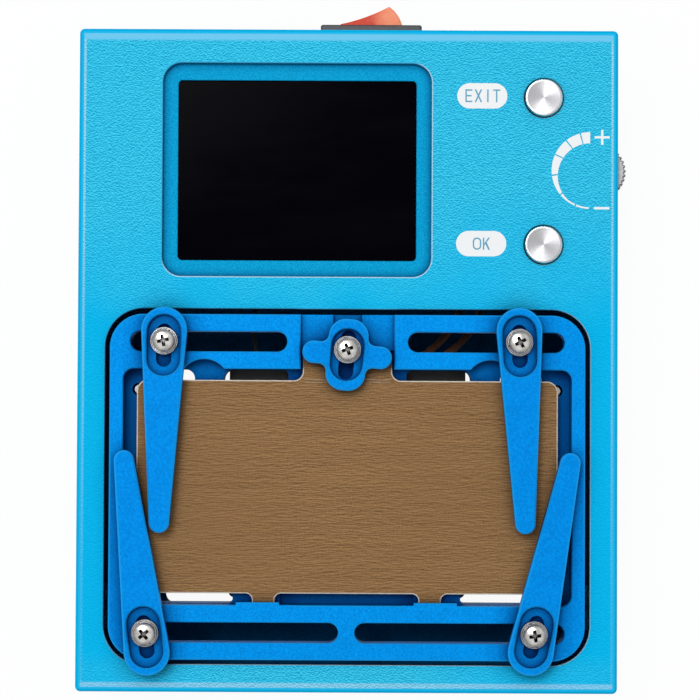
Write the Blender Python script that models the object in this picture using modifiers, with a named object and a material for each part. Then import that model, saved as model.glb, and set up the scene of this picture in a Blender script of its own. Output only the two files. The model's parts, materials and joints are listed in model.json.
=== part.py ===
"""A small bench station that heats a phone circuit board from below while chips are taken off it.

A folded sheet-metal case holds the display, two buttons, a thumbwheel and the power switch. In its
big front opening sits a milled clamp frame with a heated mould plate, four long clamp arms that
slide, turn and reach over the board, and a short centre clamp that holds the mould plate down.

Lengths are in metres, +Z is up and +Y points to the back. The station's own empty stands at the
centre of the case on the table, and the whole object is centred on the world's origin.
"""

import math

import bmesh
import bpy
from mathutils import Matrix, Vector

MM = 0.001

# Clearances
SEAT_GAP = 0.3 * MM
THIN_GAP = 0.1 * MM
SLIDE_GAP = 0.2 * MM
OVERCUT = 1.0 * MM
BITE = 0.5 * MM
MILL_STEP = 0.05 * MM

# Mould plate, the heated brown plate that carries the circuit board: the frame is sized round it
PLATE_WIDTH = 88.2 * MM
PLATE_DEPTH = 44.6 * MM
PLATE_THICKNESS = 2.0 * MM
PLATE_DROP = 1.6 * MM
PLATE_CORNER = 2.3 * MM
PLATE_EDGE = 0.2 * MM
PLATE_SIDE_GAP = 2.8 * MM
PLATE_END_GAP = 2.35 * MM
TONGUE_HALF = 9.35 * MM
TONGUE_OVERLAP = 3.7 * MM
TONGUE_FILLET = 1.9 * MM
TONGUE_NOTCH_HALF = 1.9 * MM
TOE_INSET = 26.7 * MM
TOE_WIDTH = 4.7 * MM
TOE_REACH = 4.3 * MM
TOE_FILLET = 1.4 * MM

# Clamp frame, milled from one aluminium block: the case is sized round it
RAIL = 2.8 * MM
BAR = 11.4 * MM
FRAME_WIDTH = PLATE_WIDTH + 2 * (PLATE_SIDE_GAP + RAIL)
FRAME_DEPTH = PLATE_DEPTH + 2 * (PLATE_END_GAP + BAR)
FRAME_CORNER = 7.0 * MM
FRAME_THICKNESS = 10.0 * MM
FRAME_PROUD = 1.6 * MM
FRAME_SETBACK = 0.1 * MM
WELL_CORNER = 2.2 * MM
WELL_HALF_X = FRAME_WIDTH / 2 - RAIL
WELL_HALF_Y = FRAME_DEPTH / 2 - BAR
LEDGE = 5.9 * MM
LEDGE_DROP = 5.5 * MM
SLOT_WIDTH = 4.2 * MM
SLOT_END_WALL = 4.3 * MM
SLOT_OUTER = FRAME_WIDTH / 2 - SLOT_END_WALL
SLOT_LINE = FRAME_DEPTH / 2 - BAR / 2
REAR_SLOT_INNER = 12.6 * MM
FRONT_SLOT_INNER = 1.7 * MM
SLOT_LIP = 5.0 * MM
NUT_CHANNEL_WIDTH = 6.4 * MM
REST_REACH = 7.9 * MM
FRONT_REST_INSET = 20.2 * MM
FRONT_REST_HALF = PLATE_WIDTH / 2 - FRONT_REST_INSET
REAR_REST_HALF = 12.4 * MM
LUG_INSET = 15.05 * MM
LUG_X = PLATE_WIDTH / 2 - LUG_INSET
LUG_WIDTH = 6.1 * MM
LUG_FILLET = 2.0 * MM
REST_FILLET = 1.2 * MM
POCKET_SHIFT = 0.95 * MM
POCKET_X = LUG_X + POCKET_SHIFT
POCKET_INSET = 3.4 * MM
POCKET_RADIUS = 5.4 * MM
CHANNEL_HALF = 9.8 * MM
GROOVE_HALF = 3.05 * MM
GROOVE_DEPTH = 1.0 * MM
LIP_INSET = 0.8 * MM
LIP_LENGTH = 11.2 * MM
LIP_OUTER = FRONT_REST_HALF - LIP_INSET
LIP_INNER = LIP_OUTER - LIP_LENGTH
LIP_PROUD = 0.6 * MM
LIP_FILLET = 0.25 * MM
REST_RELIEF = 1.5 * MM
TONGUE_REACH = WELL_HALF_Y + TONGUE_OVERLAP
TOE_X = PLATE_WIDTH / 2 - TOE_INSET

# Case: one folded sheet with its top and four walls, from front to back
SHEET = 1.2 * MM
CASE_HEIGHT = 34.0 * MM
CASE_BEND = 1.1 * MM
BEND_STEPS = 3
CASE_SIDE = 5.95 * MM
CASE_FRONT = 6.0 * MM
CASE_MIDDLE = 7.15 * MM
CASE_BACK = 6.95 * MM
OPENING_GAP = 1.05 * MM
OPENING_CORNER = 8.0 * MM
OPENING_WIDTH = FRAME_WIDTH + 2 * OPENING_GAP
OPENING_DEPTH = FRAME_DEPTH + 2 * OPENING_GAP
RECESS_WIDTH = 56.5 * MM
RECESS_DEPTH = 44.9 * MM
RECESS_CORNER = 4.0 * MM
RECESS_SIDE = 17.65 * MM
CASE_WIDTH = OPENING_WIDTH + 2 * CASE_SIDE
CASE_DEPTH = CASE_FRONT + OPENING_DEPTH + CASE_MIDDLE + RECESS_DEPTH + CASE_BACK
OPENING_Y = CASE_FRONT + OPENING_DEPTH / 2 - CASE_DEPTH / 2
FRAME_Y = OPENING_Y - FRAME_SETBACK
DISPLAY_X = RECESS_SIDE + RECESS_WIDTH / 2 - CASE_WIDTH / 2
DISPLAY_Y = CASE_DEPTH / 2 - CASE_BACK - RECESS_DEPTH / 2
INNER_X = CASE_WIDTH / 2 - SHEET
INNER_Y = CASE_DEPTH / 2 - SHEET
BACK_FACE = CASE_DEPTH / 2
TAB_WIDTH = 10.0 * MM
TAB_REACH = 8.0 * MM
TAB_INSET = 15.6 * MM
TAB_Y = CASE_DEPTH / 2 - TAB_INSET
TAB_HOLE_INSET = 4.5 * MM

# Feet and the bottom plate
FOOT_HEIGHT = 4.0 * MM
FOOT_RADIUS = 5.0 * MM
FOOT_TAPER = 0.8 * MM
FOOT_SIDE = 10.7 * MM
FOOT_END = 7.6 * MM
FOOT_X = CASE_WIDTH / 2 - FOOT_SIDE
FOOT_Y = CASE_DEPTH / 2 - FOOT_END
FLOOR_SHEET = 1.2 * MM
FLOOR_CORNER = 1.6 * MM
WINDOW_CORNER = 2.0 * MM
VENT_COUNT = 6
VENT_PITCH = 7.5 * MM
VENT_WIDTH = 3.0 * MM
VENT_LENGTH = 34.0 * MM
VENT_SHIFT = 4.2 * MM
VENT_Y = DISPLAY_Y - VENT_SHIFT

# Cover screws, pushed up through the bottom plate into the case's tabs
SCREW_SHANK_RADIUS = 1.5 * MM
COVER_HEAD_RADIUS = 2.7 * MM
COVER_HEAD_HEIGHT = 1.7 * MM
COVER_SCREW_LENGTH = 6.0 * MM

# Pillars that carry the clamp frame at its four ledge holes
PILLAR_SIDE = 2.8 * MM
PILLAR_END = 4.3 * MM
PILLAR_X = WELL_HALF_X - PILLAR_SIDE
PILLAR_Y = WELL_HALF_Y - PILLAR_END
PILLAR_FLATS = 5.6 * MM
WINDOW_SIDE = 3.9 * MM
WINDOW_END = 2.1 * MM
WINDOW_WIDTH = 2 * (PILLAR_X - WINDOW_SIDE)
WINDOW_DEPTH = 2 * (WELL_HALF_Y + WINDOW_END)
LEDGE_HOLE_RADIUS = 1.3 * MM
PILLAR_STUD_RADIUS = 1.1 * MM
PILLAR_STUD_RISE = 3.4 * MM

# Heater under the mould plate
BLOCK_SIDE_INSET = 22.1 * MM
BLOCK_GAP = 1.5 * MM
BLOCK_WIDTH = PLATE_WIDTH - 2 * BLOCK_SIDE_INSET
BLOCK_DEPTH = 2 * (WELL_HALF_Y - REST_REACH - BLOCK_GAP)
BLOCK_THICKNESS = 4.0 * MM
BLOCK_CORNER = 1.5 * MM
CERAMIC_SIDE_INSET = 4.0 * MM
CERAMIC_END_INSET = 2.0 * MM
CERAMIC_CORNER = 1.0 * MM
CERAMIC_WIDTH = BLOCK_WIDTH - 2 * CERAMIC_SIDE_INSET
CERAMIC_DEPTH = BLOCK_DEPTH - 2 * CERAMIC_END_INSET
CERAMIC_THICKNESS = 1.8 * MM
CARRIER_OVERHANG = 3.1 * MM
CARRIER_WIDTH = BLOCK_WIDTH + 2 * CARRIER_OVERHANG
CARRIER_FRONT_INSET = 0.9 * MM
CARRIER_REAR_REACH = 2.1 * MM
CARRIER_FRONT = WELL_HALF_Y - CARRIER_FRONT_INSET
CARRIER_REAR = WELL_HALF_Y + CARRIER_REAR_REACH
CARRIER_CORNER = 1.2 * MM
CARRIER_THICKNESS = 3.0 * MM
CARRIER_SCREW_INSET = 4.0 * MM
CARRIER_SCREW_Y = WELL_HALF_Y - CARRIER_SCREW_INSET
CARRIER_SCREW_BITE = 3.5 * MM
LEAD_HOLE_INSET = 5.0 * MM
LEAD_HOLE_X = CERAMIC_WIDTH / 2 - LEAD_HOLE_INSET
LEAD_HOLE_Y = 8.0 * MM
LEAD_HOLE_RADIUS = 1.6 * MM
LEAD_SPACING = 4.6 * MM
SENSOR_HOLE_INSET = 4.0 * MM
SENSOR_HOLE_X = SENSOR_HOLE_INSET - CERAMIC_WIDTH / 2
SENSOR_RADIUS = 0.9 * MM
SENSOR_DEPTH = 2.0 * MM

# Clamp arms: hull of a heel circle and a tip circle, with a slotted recess at the heel
ARM_SHORTFALL = 20.6 * MM
ARM_LENGTH = 2 * SLOT_LINE - ARM_SHORTFALL
ARM_THICKNESS = 3.0 * MM
ARM_HEEL_RADIUS = 4.75 * MM
ARM_TIP_RADIUS = 2.1 * MM
ARM_EDGE = 0.25 * MM
ARM_SLOT_START = 0.3 * MM
ARM_SLOT_TRAVEL = 5.8 * MM
ARM_SLOT_HALF = 1.6 * MM
ARM_RECESS_HALF = 3.5 * MM
ARM_RECESS_DEPTH = 1.5 * MM

# Each arm: its name, its side (1 right, -1 left), the screw's distance from its slot's outer end,
# the bar (1 rear, -1 front), the lean of the tip in degrees, and the screw's distance from the
# heel's centre
ARMS = (
    ("rear_left", -1, 7.2 * MM, 1, -1.2, 2.3 * MM),
    ("rear_right", 1, 9.6 * MM, 1, 1.95, 2.4 * MM),
    ("front_left", -1, 3.6 * MM, -1, -7.2, 4.0 * MM),
    ("front_right", 1, 6.4 * MM, -1, 11.7, 3.7 * MM),
)

# Centre clamp: a cross with round ends
CLAMP_SCREW_SETBACK = 4.08 * MM
CLAMP_SCREW_Y = WELL_HALF_Y + CLAMP_SCREW_SETBACK
CLAMP_TURN = -5.0
CLAMP_LENGTH = 14.95 * MM
CLAMP_BODY_RADIUS = 4.15 * MM
CLAMP_SPAN = 18.7 * MM
CLAMP_LOBE_RADIUS = 2.35 * MM
CLAMP_FILLET = 1.5 * MM
CLAMP_SLOT_HALF_TRAVEL = 3.55 * MM
CLAMP_SCREW_OFFSET = 1.1 * MM
CLAMP_RECESS_HALF_TRAVEL = 2.05 * MM
CLAMP_RECESS_HALF = 3.4 * MM
CLAMP_SCREW_BITE = 6.0 * MM

# Clamp screws with their captive spring washers, loose flat washers and slot nuts
CLAMP_HEAD_RADIUS = 2.5 * MM
CLAMP_HEAD_HEIGHT = 2.1 * MM
HEAD_CROWN = 0.6 * MM
SPRING_WASHER_RADIUS = 2.7 * MM
SPRING_WASHER_THICKNESS = 0.8 * MM
WASHER_NECK = 0.35 * MM
FLAT_WASHER_RADIUS = 2.9 * MM
FLAT_WASHER_THICKNESS = 0.5 * MM
NUT_FLATS = 5.5 * MM
NUT_THICKNESS = 2.4 * MM
SCREW_OVERRUN = 0.8 * MM

# Display
FACIA_MARGIN = 2.6 * MM
FACIA_THICKNESS = 1.0 * MM
GLASS_SIDE = 3.15 * MM
GLASS_END = 3.45 * MM
GLASS_WIDTH = RECESS_WIDTH - 2 * GLASS_SIDE
GLASS_DEPTH = RECESS_DEPTH - 2 * GLASS_END
GLASS_CORNER = 0.9 * MM
GLASS_THICKNESS = 1.1 * MM
GLASS_SUNK = 0.2 * MM
PANEL_MARGIN = 3.6 * MM
PANEL_CORNER = 1.0 * MM
PANEL_THICKNESS = 3.0 * MM

# Buttons
BUTTON_INSET = 15.7 * MM
BUTTON_X = CASE_WIDTH / 2 - BUTTON_INSET
EXIT_BUTTON_Y = DISPLAY_Y + 15.1 * MM
OK_BUTTON_Y = DISPLAY_Y - 15.8 * MM
BUTTON_RADIUS = 3.95 * MM
BUTTON_HOLE_RADIUS = 4.15 * MM
BUTTON_PROUD = 0.9 * MM
BUTTON_DISH = 0.15 * MM
BUTTON_FLANGE_RADIUS = 5.2 * MM
BUTTON_FLANGE = 0.8 * MM
BUTTON_STEM_RADIUS = 1.8 * MM
BUTTON_STEM = 2.6 * MM
BUTTON_TRAVEL = 0.5 * MM
TACT_SIZE = 6.0 * MM
TACT_BODY = 3.4 * MM
TACT_PLUNGER_RADIUS = 1.7 * MM

# Control board
BOARD_TOP = 28.0 * MM
BOARD_THICKNESS = 1.6 * MM
BOARD_SIDE_GAP = 1.9 * MM
BOARD_FRONT_GAP = 1.75 * MM
BOARD_BACK_GAP = 2.8 * MM
BOARD_HALF_WIDTH = INNER_X - BOARD_SIDE_GAP
BOARD_FRONT = FRAME_Y + FRAME_DEPTH / 2 + BOARD_FRONT_GAP
BOARD_BACK = INNER_Y - BOARD_BACK_GAP
BOARD_NOTCH_MARGIN = 2.0 * MM
BOARD_STUD_RADIUS = 2.0 * MM
BOARD_STUD_INSET = 3.3 * MM
BOARD_STUD_X = BOARD_HALF_WIDTH - BOARD_STUD_INSET
BOARD_STUD_FRONT = BOARD_FRONT + BOARD_STUD_INSET
BOARD_STUD_BACK = BOARD_BACK - BOARD_STUD_INSET
CHIP_SIZE = (9.0 * MM, 9.0 * MM, 1.2 * MM)
TERMINAL_X = 26.0 * MM
TERMINAL_SIZE = (12.0 * MM, 8.0 * MM, 8.5 * MM)
SENSOR_SOCKET_X = -20.0 * MM
SENSOR_SOCKET_SIZE = (6.0 * MM, 6.0 * MM, 6.0 * MM)
CAPACITOR_RADIUS = 4.0 * MM
CAPACITOR_HEIGHT = 9.0 * MM
CAPACITOR_X = -2.0 * MM
BUZZER_RADIUS = 4.5 * MM
BUZZER_HEIGHT = 5.5 * MM
BUZZER_X = 38.0 * MM
TRANSISTOR_SIZE = (10.2 * MM, 9.0 * MM, 4.5 * MM)
TRANSISTOR_X = 12.0 * MM
COMPONENT_SETBACK = 13.4 * MM

# Thumbwheel and the encoder under it
WHEEL_RADIUS = 6.4 * MM
WHEEL_PROUD = 2.6 * MM
WHEEL_THICKNESS = 4.0 * MM
WHEEL_Y = DISPLAY_Y
WHEEL_TEETH = 36
WHEEL_TOOTH = 0.35 * MM
WHEEL_EDGE = 0.3 * MM
WHEEL_BORE_RADIUS = 1.5 * MM
WHEEL_LIFT = 2.1 * MM
WHEEL_SLOT_MARGIN = 0.7 * MM
ENCODER_WIDTH = 8.6 * MM
ENCODER_DEPTH = 10.0 * MM
ENCODER_HEIGHT = 1.4 * MM

# Rocker switch in the back wall
SWITCH_X = 4.7 * MM
SWITCH_Z = 24.4 * MM
BEZEL_WIDTH = 21.5 * MM
BEZEL_HEIGHT = 15.0 * MM
BEZEL_PROUD = 1.95 * MM
BEZEL_CORNER = 0.8 * MM
HOUSING_WIDTH = 18.8 * MM
HOUSING_HEIGHT = 13.4 * MM
HOUSING_REACH = 11.0 * MM
CAVITY_HALF = 7.05 * MM
CAVITY_HEIGHT = 11.6 * MM
CAVITY_BACK = 7.2 * MM
ROCKER_RADIUS = 6.8 * MM
ROCKER_HEIGHT = 11.2 * MM
ROCKER_PIVOT_DEPTH = 1.4 * MM
ROCKER_SPREAD = 54.0
ROCKER_REACH = 104.0
ROCKER_TILT = 20.0
ROCKER_DISH = 0.4 * MM
ROCKER_STEM_HALF = 2.8 * MM
ROCKER_STEM = 3.6 * MM
PIVOT_RADIUS = 1.2 * MM
BLADE_SIZE = (0.8 * MM, 6.0 * MM, 4.8 * MM)
BLADE_X = 3.6 * MM

# Power socket in the back wall, hung under the board
JACK_X = -30.0 * MM
JACK_WIDTH = 9.0 * MM
JACK_HEIGHT = 11.0 * MM
JACK_LENGTH = 12.0 * MM
JACK_BARREL_RADIUS = 4.1 * MM
JACK_BORE_RADIUS = 3.15 * MM
JACK_BORE_DEPTH = 9.5 * MM
JACK_PIN_RADIUS = 1.0 * MM

BOARD_NOTCH_FRONT = INNER_Y - HOUSING_REACH - BLADE_SIZE[1] - BOARD_NOTCH_MARGIN
COMPONENT_Y = BOARD_NOTCH_FRONT - COMPONENT_SETBACK

# Wires
LEAD_RADIUS = 0.75 * MM
SENSOR_LEAD_RADIUS = 0.45 * MM
WIRE_STEPS = 26
WIRE_RUN_DROP = 2.4 * MM
WIRE_EXIT_DROP = 0.9 * MM
WIRE_EXIT_LEAN = 0.8 * MM
WIRE_STRAIGHT = 2.0 * MM
WIRE_SWEEP = 11.0 * MM
WIRE_SAG = 7.0 * MM

# Heights above the table, worked out from the sizes above
CASE_BASE = FOOT_HEIGHT + SLIDE_GAP
CASE_TOP = CASE_BASE + CASE_HEIGHT
CASE_UNDERSIDE = CASE_TOP - SHEET
FLOOR_TOP = CASE_BASE + FLOOR_SHEET
FRAME_TOP = CASE_TOP + FRAME_PROUD
FRAME_BASE = FRAME_TOP - FRAME_THICKNESS
REST_DROP = PLATE_DROP + PLATE_THICKNESS + SEAT_GAP
LIP_THICKNESS = PLATE_DROP - SEAT_GAP
PLATE_TOP = FRAME_TOP - PLATE_DROP
BLOCK_TOP = PLATE_TOP - PLATE_THICKNESS - SEAT_GAP
CERAMIC_TOP = BLOCK_TOP - BLOCK_THICKNESS - SEAT_GAP
CARRIER_TOP = FRAME_BASE - SEAT_GAP
ARM_BASE = FRAME_TOP + SEAT_GAP
CLAMP_BASE = PLATE_TOP + SEAT_GAP
BOARD_BASE = BOARD_TOP - BOARD_THICKNESS
FACIA_TOP = CASE_UNDERSIDE - SEAT_GAP
PANEL_TOP = FACIA_TOP - FACIA_THICKNESS - SEAT_GAP - (GLASS_SUNK + GLASS_THICKNESS - FACIA_THICKNESS)

# Places measured from the centre of the case
BEZEL_FACE = BACK_FACE + BEZEL_PROUD
WHEEL_X = CASE_WIDTH / 2 + WHEEL_PROUD - WHEEL_RADIUS
ROCKER_PEAK = ROCKER_RADIUS * math.cos(math.radians(ROCKER_SPREAD - ROCKER_TILT)) - ROCKER_PIVOT_DEPTH
SWITCH_PROUD = BEZEL_PROUD + ROCKER_PEAK
CASE_CENTRE = Vector((-WHEEL_PROUD / 2, -SWITCH_PROUD / 2, 0.0))


def new_collection(name):
    """A new collection linked to the scene."""
    made = bpy.data.collections.new(name)
    bpy.context.scene.collection.children.link(made)
    return made


def new_material(name, color, roughness, metallic=0.0):
    """A Principled material with one colour, roughness and metallic value."""
    made = bpy.data.materials.new(name)
    made.use_nodes = True
    shader = made.node_tree.nodes["Principled BSDF"]
    shader.inputs["Base Color"].default_value = (*color, 1.0)
    shader.inputs["Roughness"].default_value = roughness
    shader.inputs["Metallic"].default_value = metallic
    return made


for old in list(bpy.data.objects):
    bpy.data.objects.remove(old, do_unlink=True)

PARTS = new_collection("desoldering_station")
CUTTERS = new_collection("cutters")

SKY_PAINT = new_material("sky_paint", (0.02, 0.48, 0.80), 0.45)
INNER_BLUE = new_material("facia_blue", (0.01, 0.36, 0.66), 0.35)
FRAME_BLUE = new_material("frame_blue_anodised", (0.0, 0.17, 0.66), 0.35, 0.4)
ARM_BLUE = new_material("arm_blue_anodised", (0.0, 0.27, 0.85), 0.3, 0.4)
BRONZE = new_material("mould_bronze", (0.24, 0.15, 0.075), 0.4, 0.7)
STEEL = new_material("steel", (0.72, 0.72, 0.72), 0.25, 1.0)
ALUMINIUM = new_material("aluminium", (0.8, 0.8, 0.8), 0.4, 1.0)
CERAMIC = new_material("ceramic", (0.9, 0.88, 0.84), 0.6)
BLACK_PLASTIC = new_material("black_plastic", (0.02, 0.02, 0.022), 0.45)
BLACK_GLASS = new_material("black_glass", (0.004, 0.004, 0.005), 0.08)
RUBBER = new_material("rubber", (0.03, 0.03, 0.03), 0.8)
ROCKER_RED = new_material("rocker_red", (0.85, 0.09, 0.03), 0.35)
BOARD_GREEN = new_material("board_green", (0.01, 0.13, 0.05), 0.4)
SLEEVE_BROWN = new_material("sleeve_brown", (0.35, 0.13, 0.03), 0.6)
SLEEVE_BLACK = new_material("sleeve_black", (0.02, 0.02, 0.02), 0.5)


def new_empty(name, location, parent=None, turn=0.0):
    """An empty at a location in its parent's space, turned about Z by an angle in degrees."""
    made = bpy.data.objects.new(name, None)
    made.empty_display_size = 5 * MM
    made.parent = parent
    made.location = location
    made.rotation_euler = (0.0, 0.0, math.radians(turn))
    PARTS.objects.link(made)
    return made


def new_piece(name, mesh, finish, parent, location=(0.0, 0.0, 0.0), rotation=(0.0, 0.0, 0.0)):
    """An object for a mesh, placed in its parent's space."""
    made = bpy.data.objects.new(name, mesh)
    made.parent = parent
    made.location = location
    made.rotation_euler = rotation
    mesh.name = name
    mesh.materials.clear()
    mesh.materials.append(finish)
    PARTS.objects.link(made)
    return made


def mesh_of(curve):
    """The welded mesh of a curve, which is then removed."""
    holder = bpy.data.objects.new(curve.name, curve)
    PARTS.objects.link(holder)
    graph = bpy.context.evaluated_depsgraph_get()
    mesh = bpy.data.meshes.new_from_object(holder.evaluated_get(graph))
    bpy.data.objects.remove(holder, do_unlink=True)
    bpy.data.curves.remove(curve)
    shape = bmesh.new()
    shape.from_mesh(mesh)
    bmesh.ops.remove_doubles(shape, verts=shape.verts, dist=0.001 * MM)
    bmesh.ops.recalc_face_normals(shape, faces=shape.faces)
    shape.to_mesh(mesh)
    shape.free()
    return mesh


def slab_mesh(loops, low, high, edge=0.0):
    """A flat solid between two heights: the first loop is its outline and the rest are holes."""
    curve = bpy.data.curves.new("slab", "CURVE")
    curve.dimensions = "2D"
    curve.fill_mode = "BOTH"
    curve.extrude = (high - low) / 2 - edge
    curve.bevel_depth = edge
    curve.bevel_resolution = 0
    curve.offset = -edge
    curve.render_resolution_u = 0
    for loop in loops:
        spline = curve.splines.new("POLY")
        spline.points.add(len(loop) - 1)
        for point, (x, y) in zip(spline.points, loop):
            point.co = (x, y, 0.0, 1.0)
        spline.use_cyclic_u = True
    mesh = mesh_of(curve)
    mesh.transform(Matrix.Translation((0.0, 0.0, (low + high) / 2)))
    return mesh


def slab(name, loops, low, high, finish, parent, edge=0.0, **place):
    """A flat piece with vertical walls, and chamfered edges where edge is given."""
    return new_piece(name, slab_mesh(loops, low, high, edge), finish, parent, **place)


def block(name, low, high, finish, parent):
    """A box between two corners."""
    shape = bmesh.new()
    bmesh.ops.create_cube(shape, size=1.0)
    size = Vector(high) - Vector(low)
    middle = (Vector(high) + Vector(low)) / 2
    for vertex in shape.verts:
        vertex.co = Vector([a * b for a, b in zip(vertex.co, size)]) + middle
    mesh = bpy.data.meshes.new(name)
    shape.to_mesh(mesh)
    shape.free()
    return new_piece(name, mesh, finish, parent)


def rod(name, radius, length, finish, parent, centre, axis="Z", steps=24):
    """A cylinder about its centre, along X, Y or Z."""
    shape = bmesh.new()
    bmesh.ops.create_cone(
        shape, cap_ends=True, segments=steps, radius1=radius, radius2=radius, depth=length
    )
    turns = {"X": Matrix.Rotation(math.pi / 2, 4, "Y"), "Y": Matrix.Rotation(math.pi / 2, 4, "X")}
    bmesh.ops.transform(shape, matrix=turns.get(axis, Matrix.Identity(4)), verts=shape.verts)
    bmesh.ops.translate(shape, vec=centre, verts=shape.verts)
    mesh = bpy.data.meshes.new(name)
    shape.to_mesh(mesh)
    shape.free()
    return new_piece(name, mesh, finish, parent)


def turned(name, profile, finish, parent, location=(0.0, 0.0, 0.0), steps=24):
    """A turned piece from a profile of (radius, height) points that runs down its outer side."""
    mesh = bpy.data.meshes.new(name)
    points = [(radius, 0.0, height) for radius, height in profile]
    edges = [(index, index + 1) for index in range(len(points) - 1)]
    mesh.from_pydata(points, edges, [])
    made = new_piece(name, mesh, finish, parent, location)
    screw = made.modifiers.new("turn", "SCREW")
    screw.steps = steps
    screw.render_steps = steps
    screw.use_merge_vertices = True
    screw.merge_threshold = 0.001 * MM
    return made


def combine(piece, tool, operation):
    """Gives a piece a Boolean modifier and keeps its tool among the cutters."""
    modifier = piece.modifiers.new(tool.name, "BOOLEAN")
    modifier.operation = operation
    modifier.solver = "EXACT"
    modifier.object = tool
    tool.hide_render = True
    tool.display_type = "WIRE"
    PARTS.objects.unlink(tool)
    CUTTERS.objects.link(tool)


def cut(piece, tool):
    """Takes the tool's shape out of the piece."""
    combine(piece, tool, "DIFFERENCE")


def fuse(piece, tool):
    """Joins the tool's shape to the piece as one solid."""
    combine(piece, tool, "UNION")


def circle(x, y, radius, steps=24):
    """A round loop."""
    turns = [2 * math.pi * index / steps for index in range(steps)]
    return [(x + radius * math.cos(a), y + radius * math.sin(a)) for a in turns]


def arc(x, y, radius, start, end, steps):
    """Points along an arc, both ends included, with its angles in degrees."""
    turns = [math.radians(start + (end - start) * index / steps) for index in range(steps + 1)]
    return [(x + radius * math.cos(a), y + radius * math.sin(a)) for a in turns]


def rounded(x, y, width, depth, radius, steps=5):
    """A rectangle about its centre with round corners."""
    loop = []
    for side_x, side_y, start in ((1, 1, 0), (-1, 1, 90), (-1, -1, 180), (1, -1, 270)):
        corner_x = x + side_x * (width / 2 - radius)
        corner_y = y + side_y * (depth / 2 - radius)
        loop += arc(corner_x, corner_y, radius, start, start + 90, steps)
    return loop


def stadium(start, end, y, half, steps=8):
    """A slot along X whose round ends are centred at start and end."""
    low, high = min(start, end), max(start, end)
    return arc(high, y, half, -90, 90, steps) + arc(low, y, half, 90, 270, steps)


def upright_stadium(x, low, high, half, steps=8):
    """A slot along Y whose round ends are centred at low and high."""
    return arc(x, high, half, 0, 180, steps) + arc(x, low, half, 180, 360, steps)


def hexagon(x, y, flats):
    """A hexagon with two corners on its X axis, given the size across its flats."""
    return circle(x, y, flats / math.sqrt(3), 6)


def filleted(corners, coarsest=18.0):
    """An outline through corners (x, y, radius), each rounded by an arc that touches both sides."""
    outline = []
    for index, (x, y, radius) in enumerate(corners):
        corner = Vector((x, y))
        before = (Vector(corners[index - 1][:2]) - corner).normalized()
        after = (Vector(corners[(index + 1) % len(corners)][:2]) - corner).normalized()
        if radius <= 0.0:
            outline.append((x, y))
            continue
        half = before.angle(after) / 2
        centre = corner + (before + after).normalized() * radius / math.sin(half)
        start = corner + before * radius / math.tan(half) - centre
        end = corner + after * radius / math.tan(half) - centre
        first = math.atan2(start.y, start.x)
        sweep = math.atan2(start.cross(end), start.dot(end))
        steps = max(2, math.ceil(abs(math.degrees(sweep)) / coarsest))
        for step in range(steps + 1):
            angle = first + sweep * step / steps
            outline.append((centre.x + radius * math.cos(angle), centre.y + radius * math.sin(angle)))
    return outline


def mirrored(half):
    """A closed list of corners from those on the +X side, which run from bottom to top."""
    return half + [(-x, y, radius) for x, y, radius in reversed(half)]


def smooth_route(points, count):
    """Points spread along a smooth curve through the given ones."""
    ends = [2 * points[0] - points[1], *points, 2 * points[-1] - points[-2]]
    route = []
    spans = len(points) - 1
    for index in range(count + 1):
        place = spans * index / count
        span = min(int(place), spans - 1)
        t = place - span
        a, b, c, d = ends[span : span + 4]
        route.append(
            0.5
            * (2 * b + (c - a) * t + (2 * a - 5 * b + 4 * c - d) * t**2 + (3 * (b - c) + d - a) * t**3)
        )
    return route


def wire(name, points, radius, finish, parent):
    """A round wire along a smooth route through the given points."""
    curve = bpy.data.curves.new(name, "CURVE")
    curve.dimensions = "3D"
    curve.bevel_depth = radius
    curve.bevel_resolution = 2
    curve.use_fill_caps = True
    curve.render_resolution_u = 0
    route = smooth_route([Vector(point) for point in points], WIRE_STEPS)
    spline = curve.splines.new("POLY")
    spline.points.add(len(route) - 1)
    for point, place in zip(spline.points, route):
        point.co = (*place, 1.0)
    mesh = mesh_of(curve)
    return new_piece(name, mesh, finish, parent)


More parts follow.
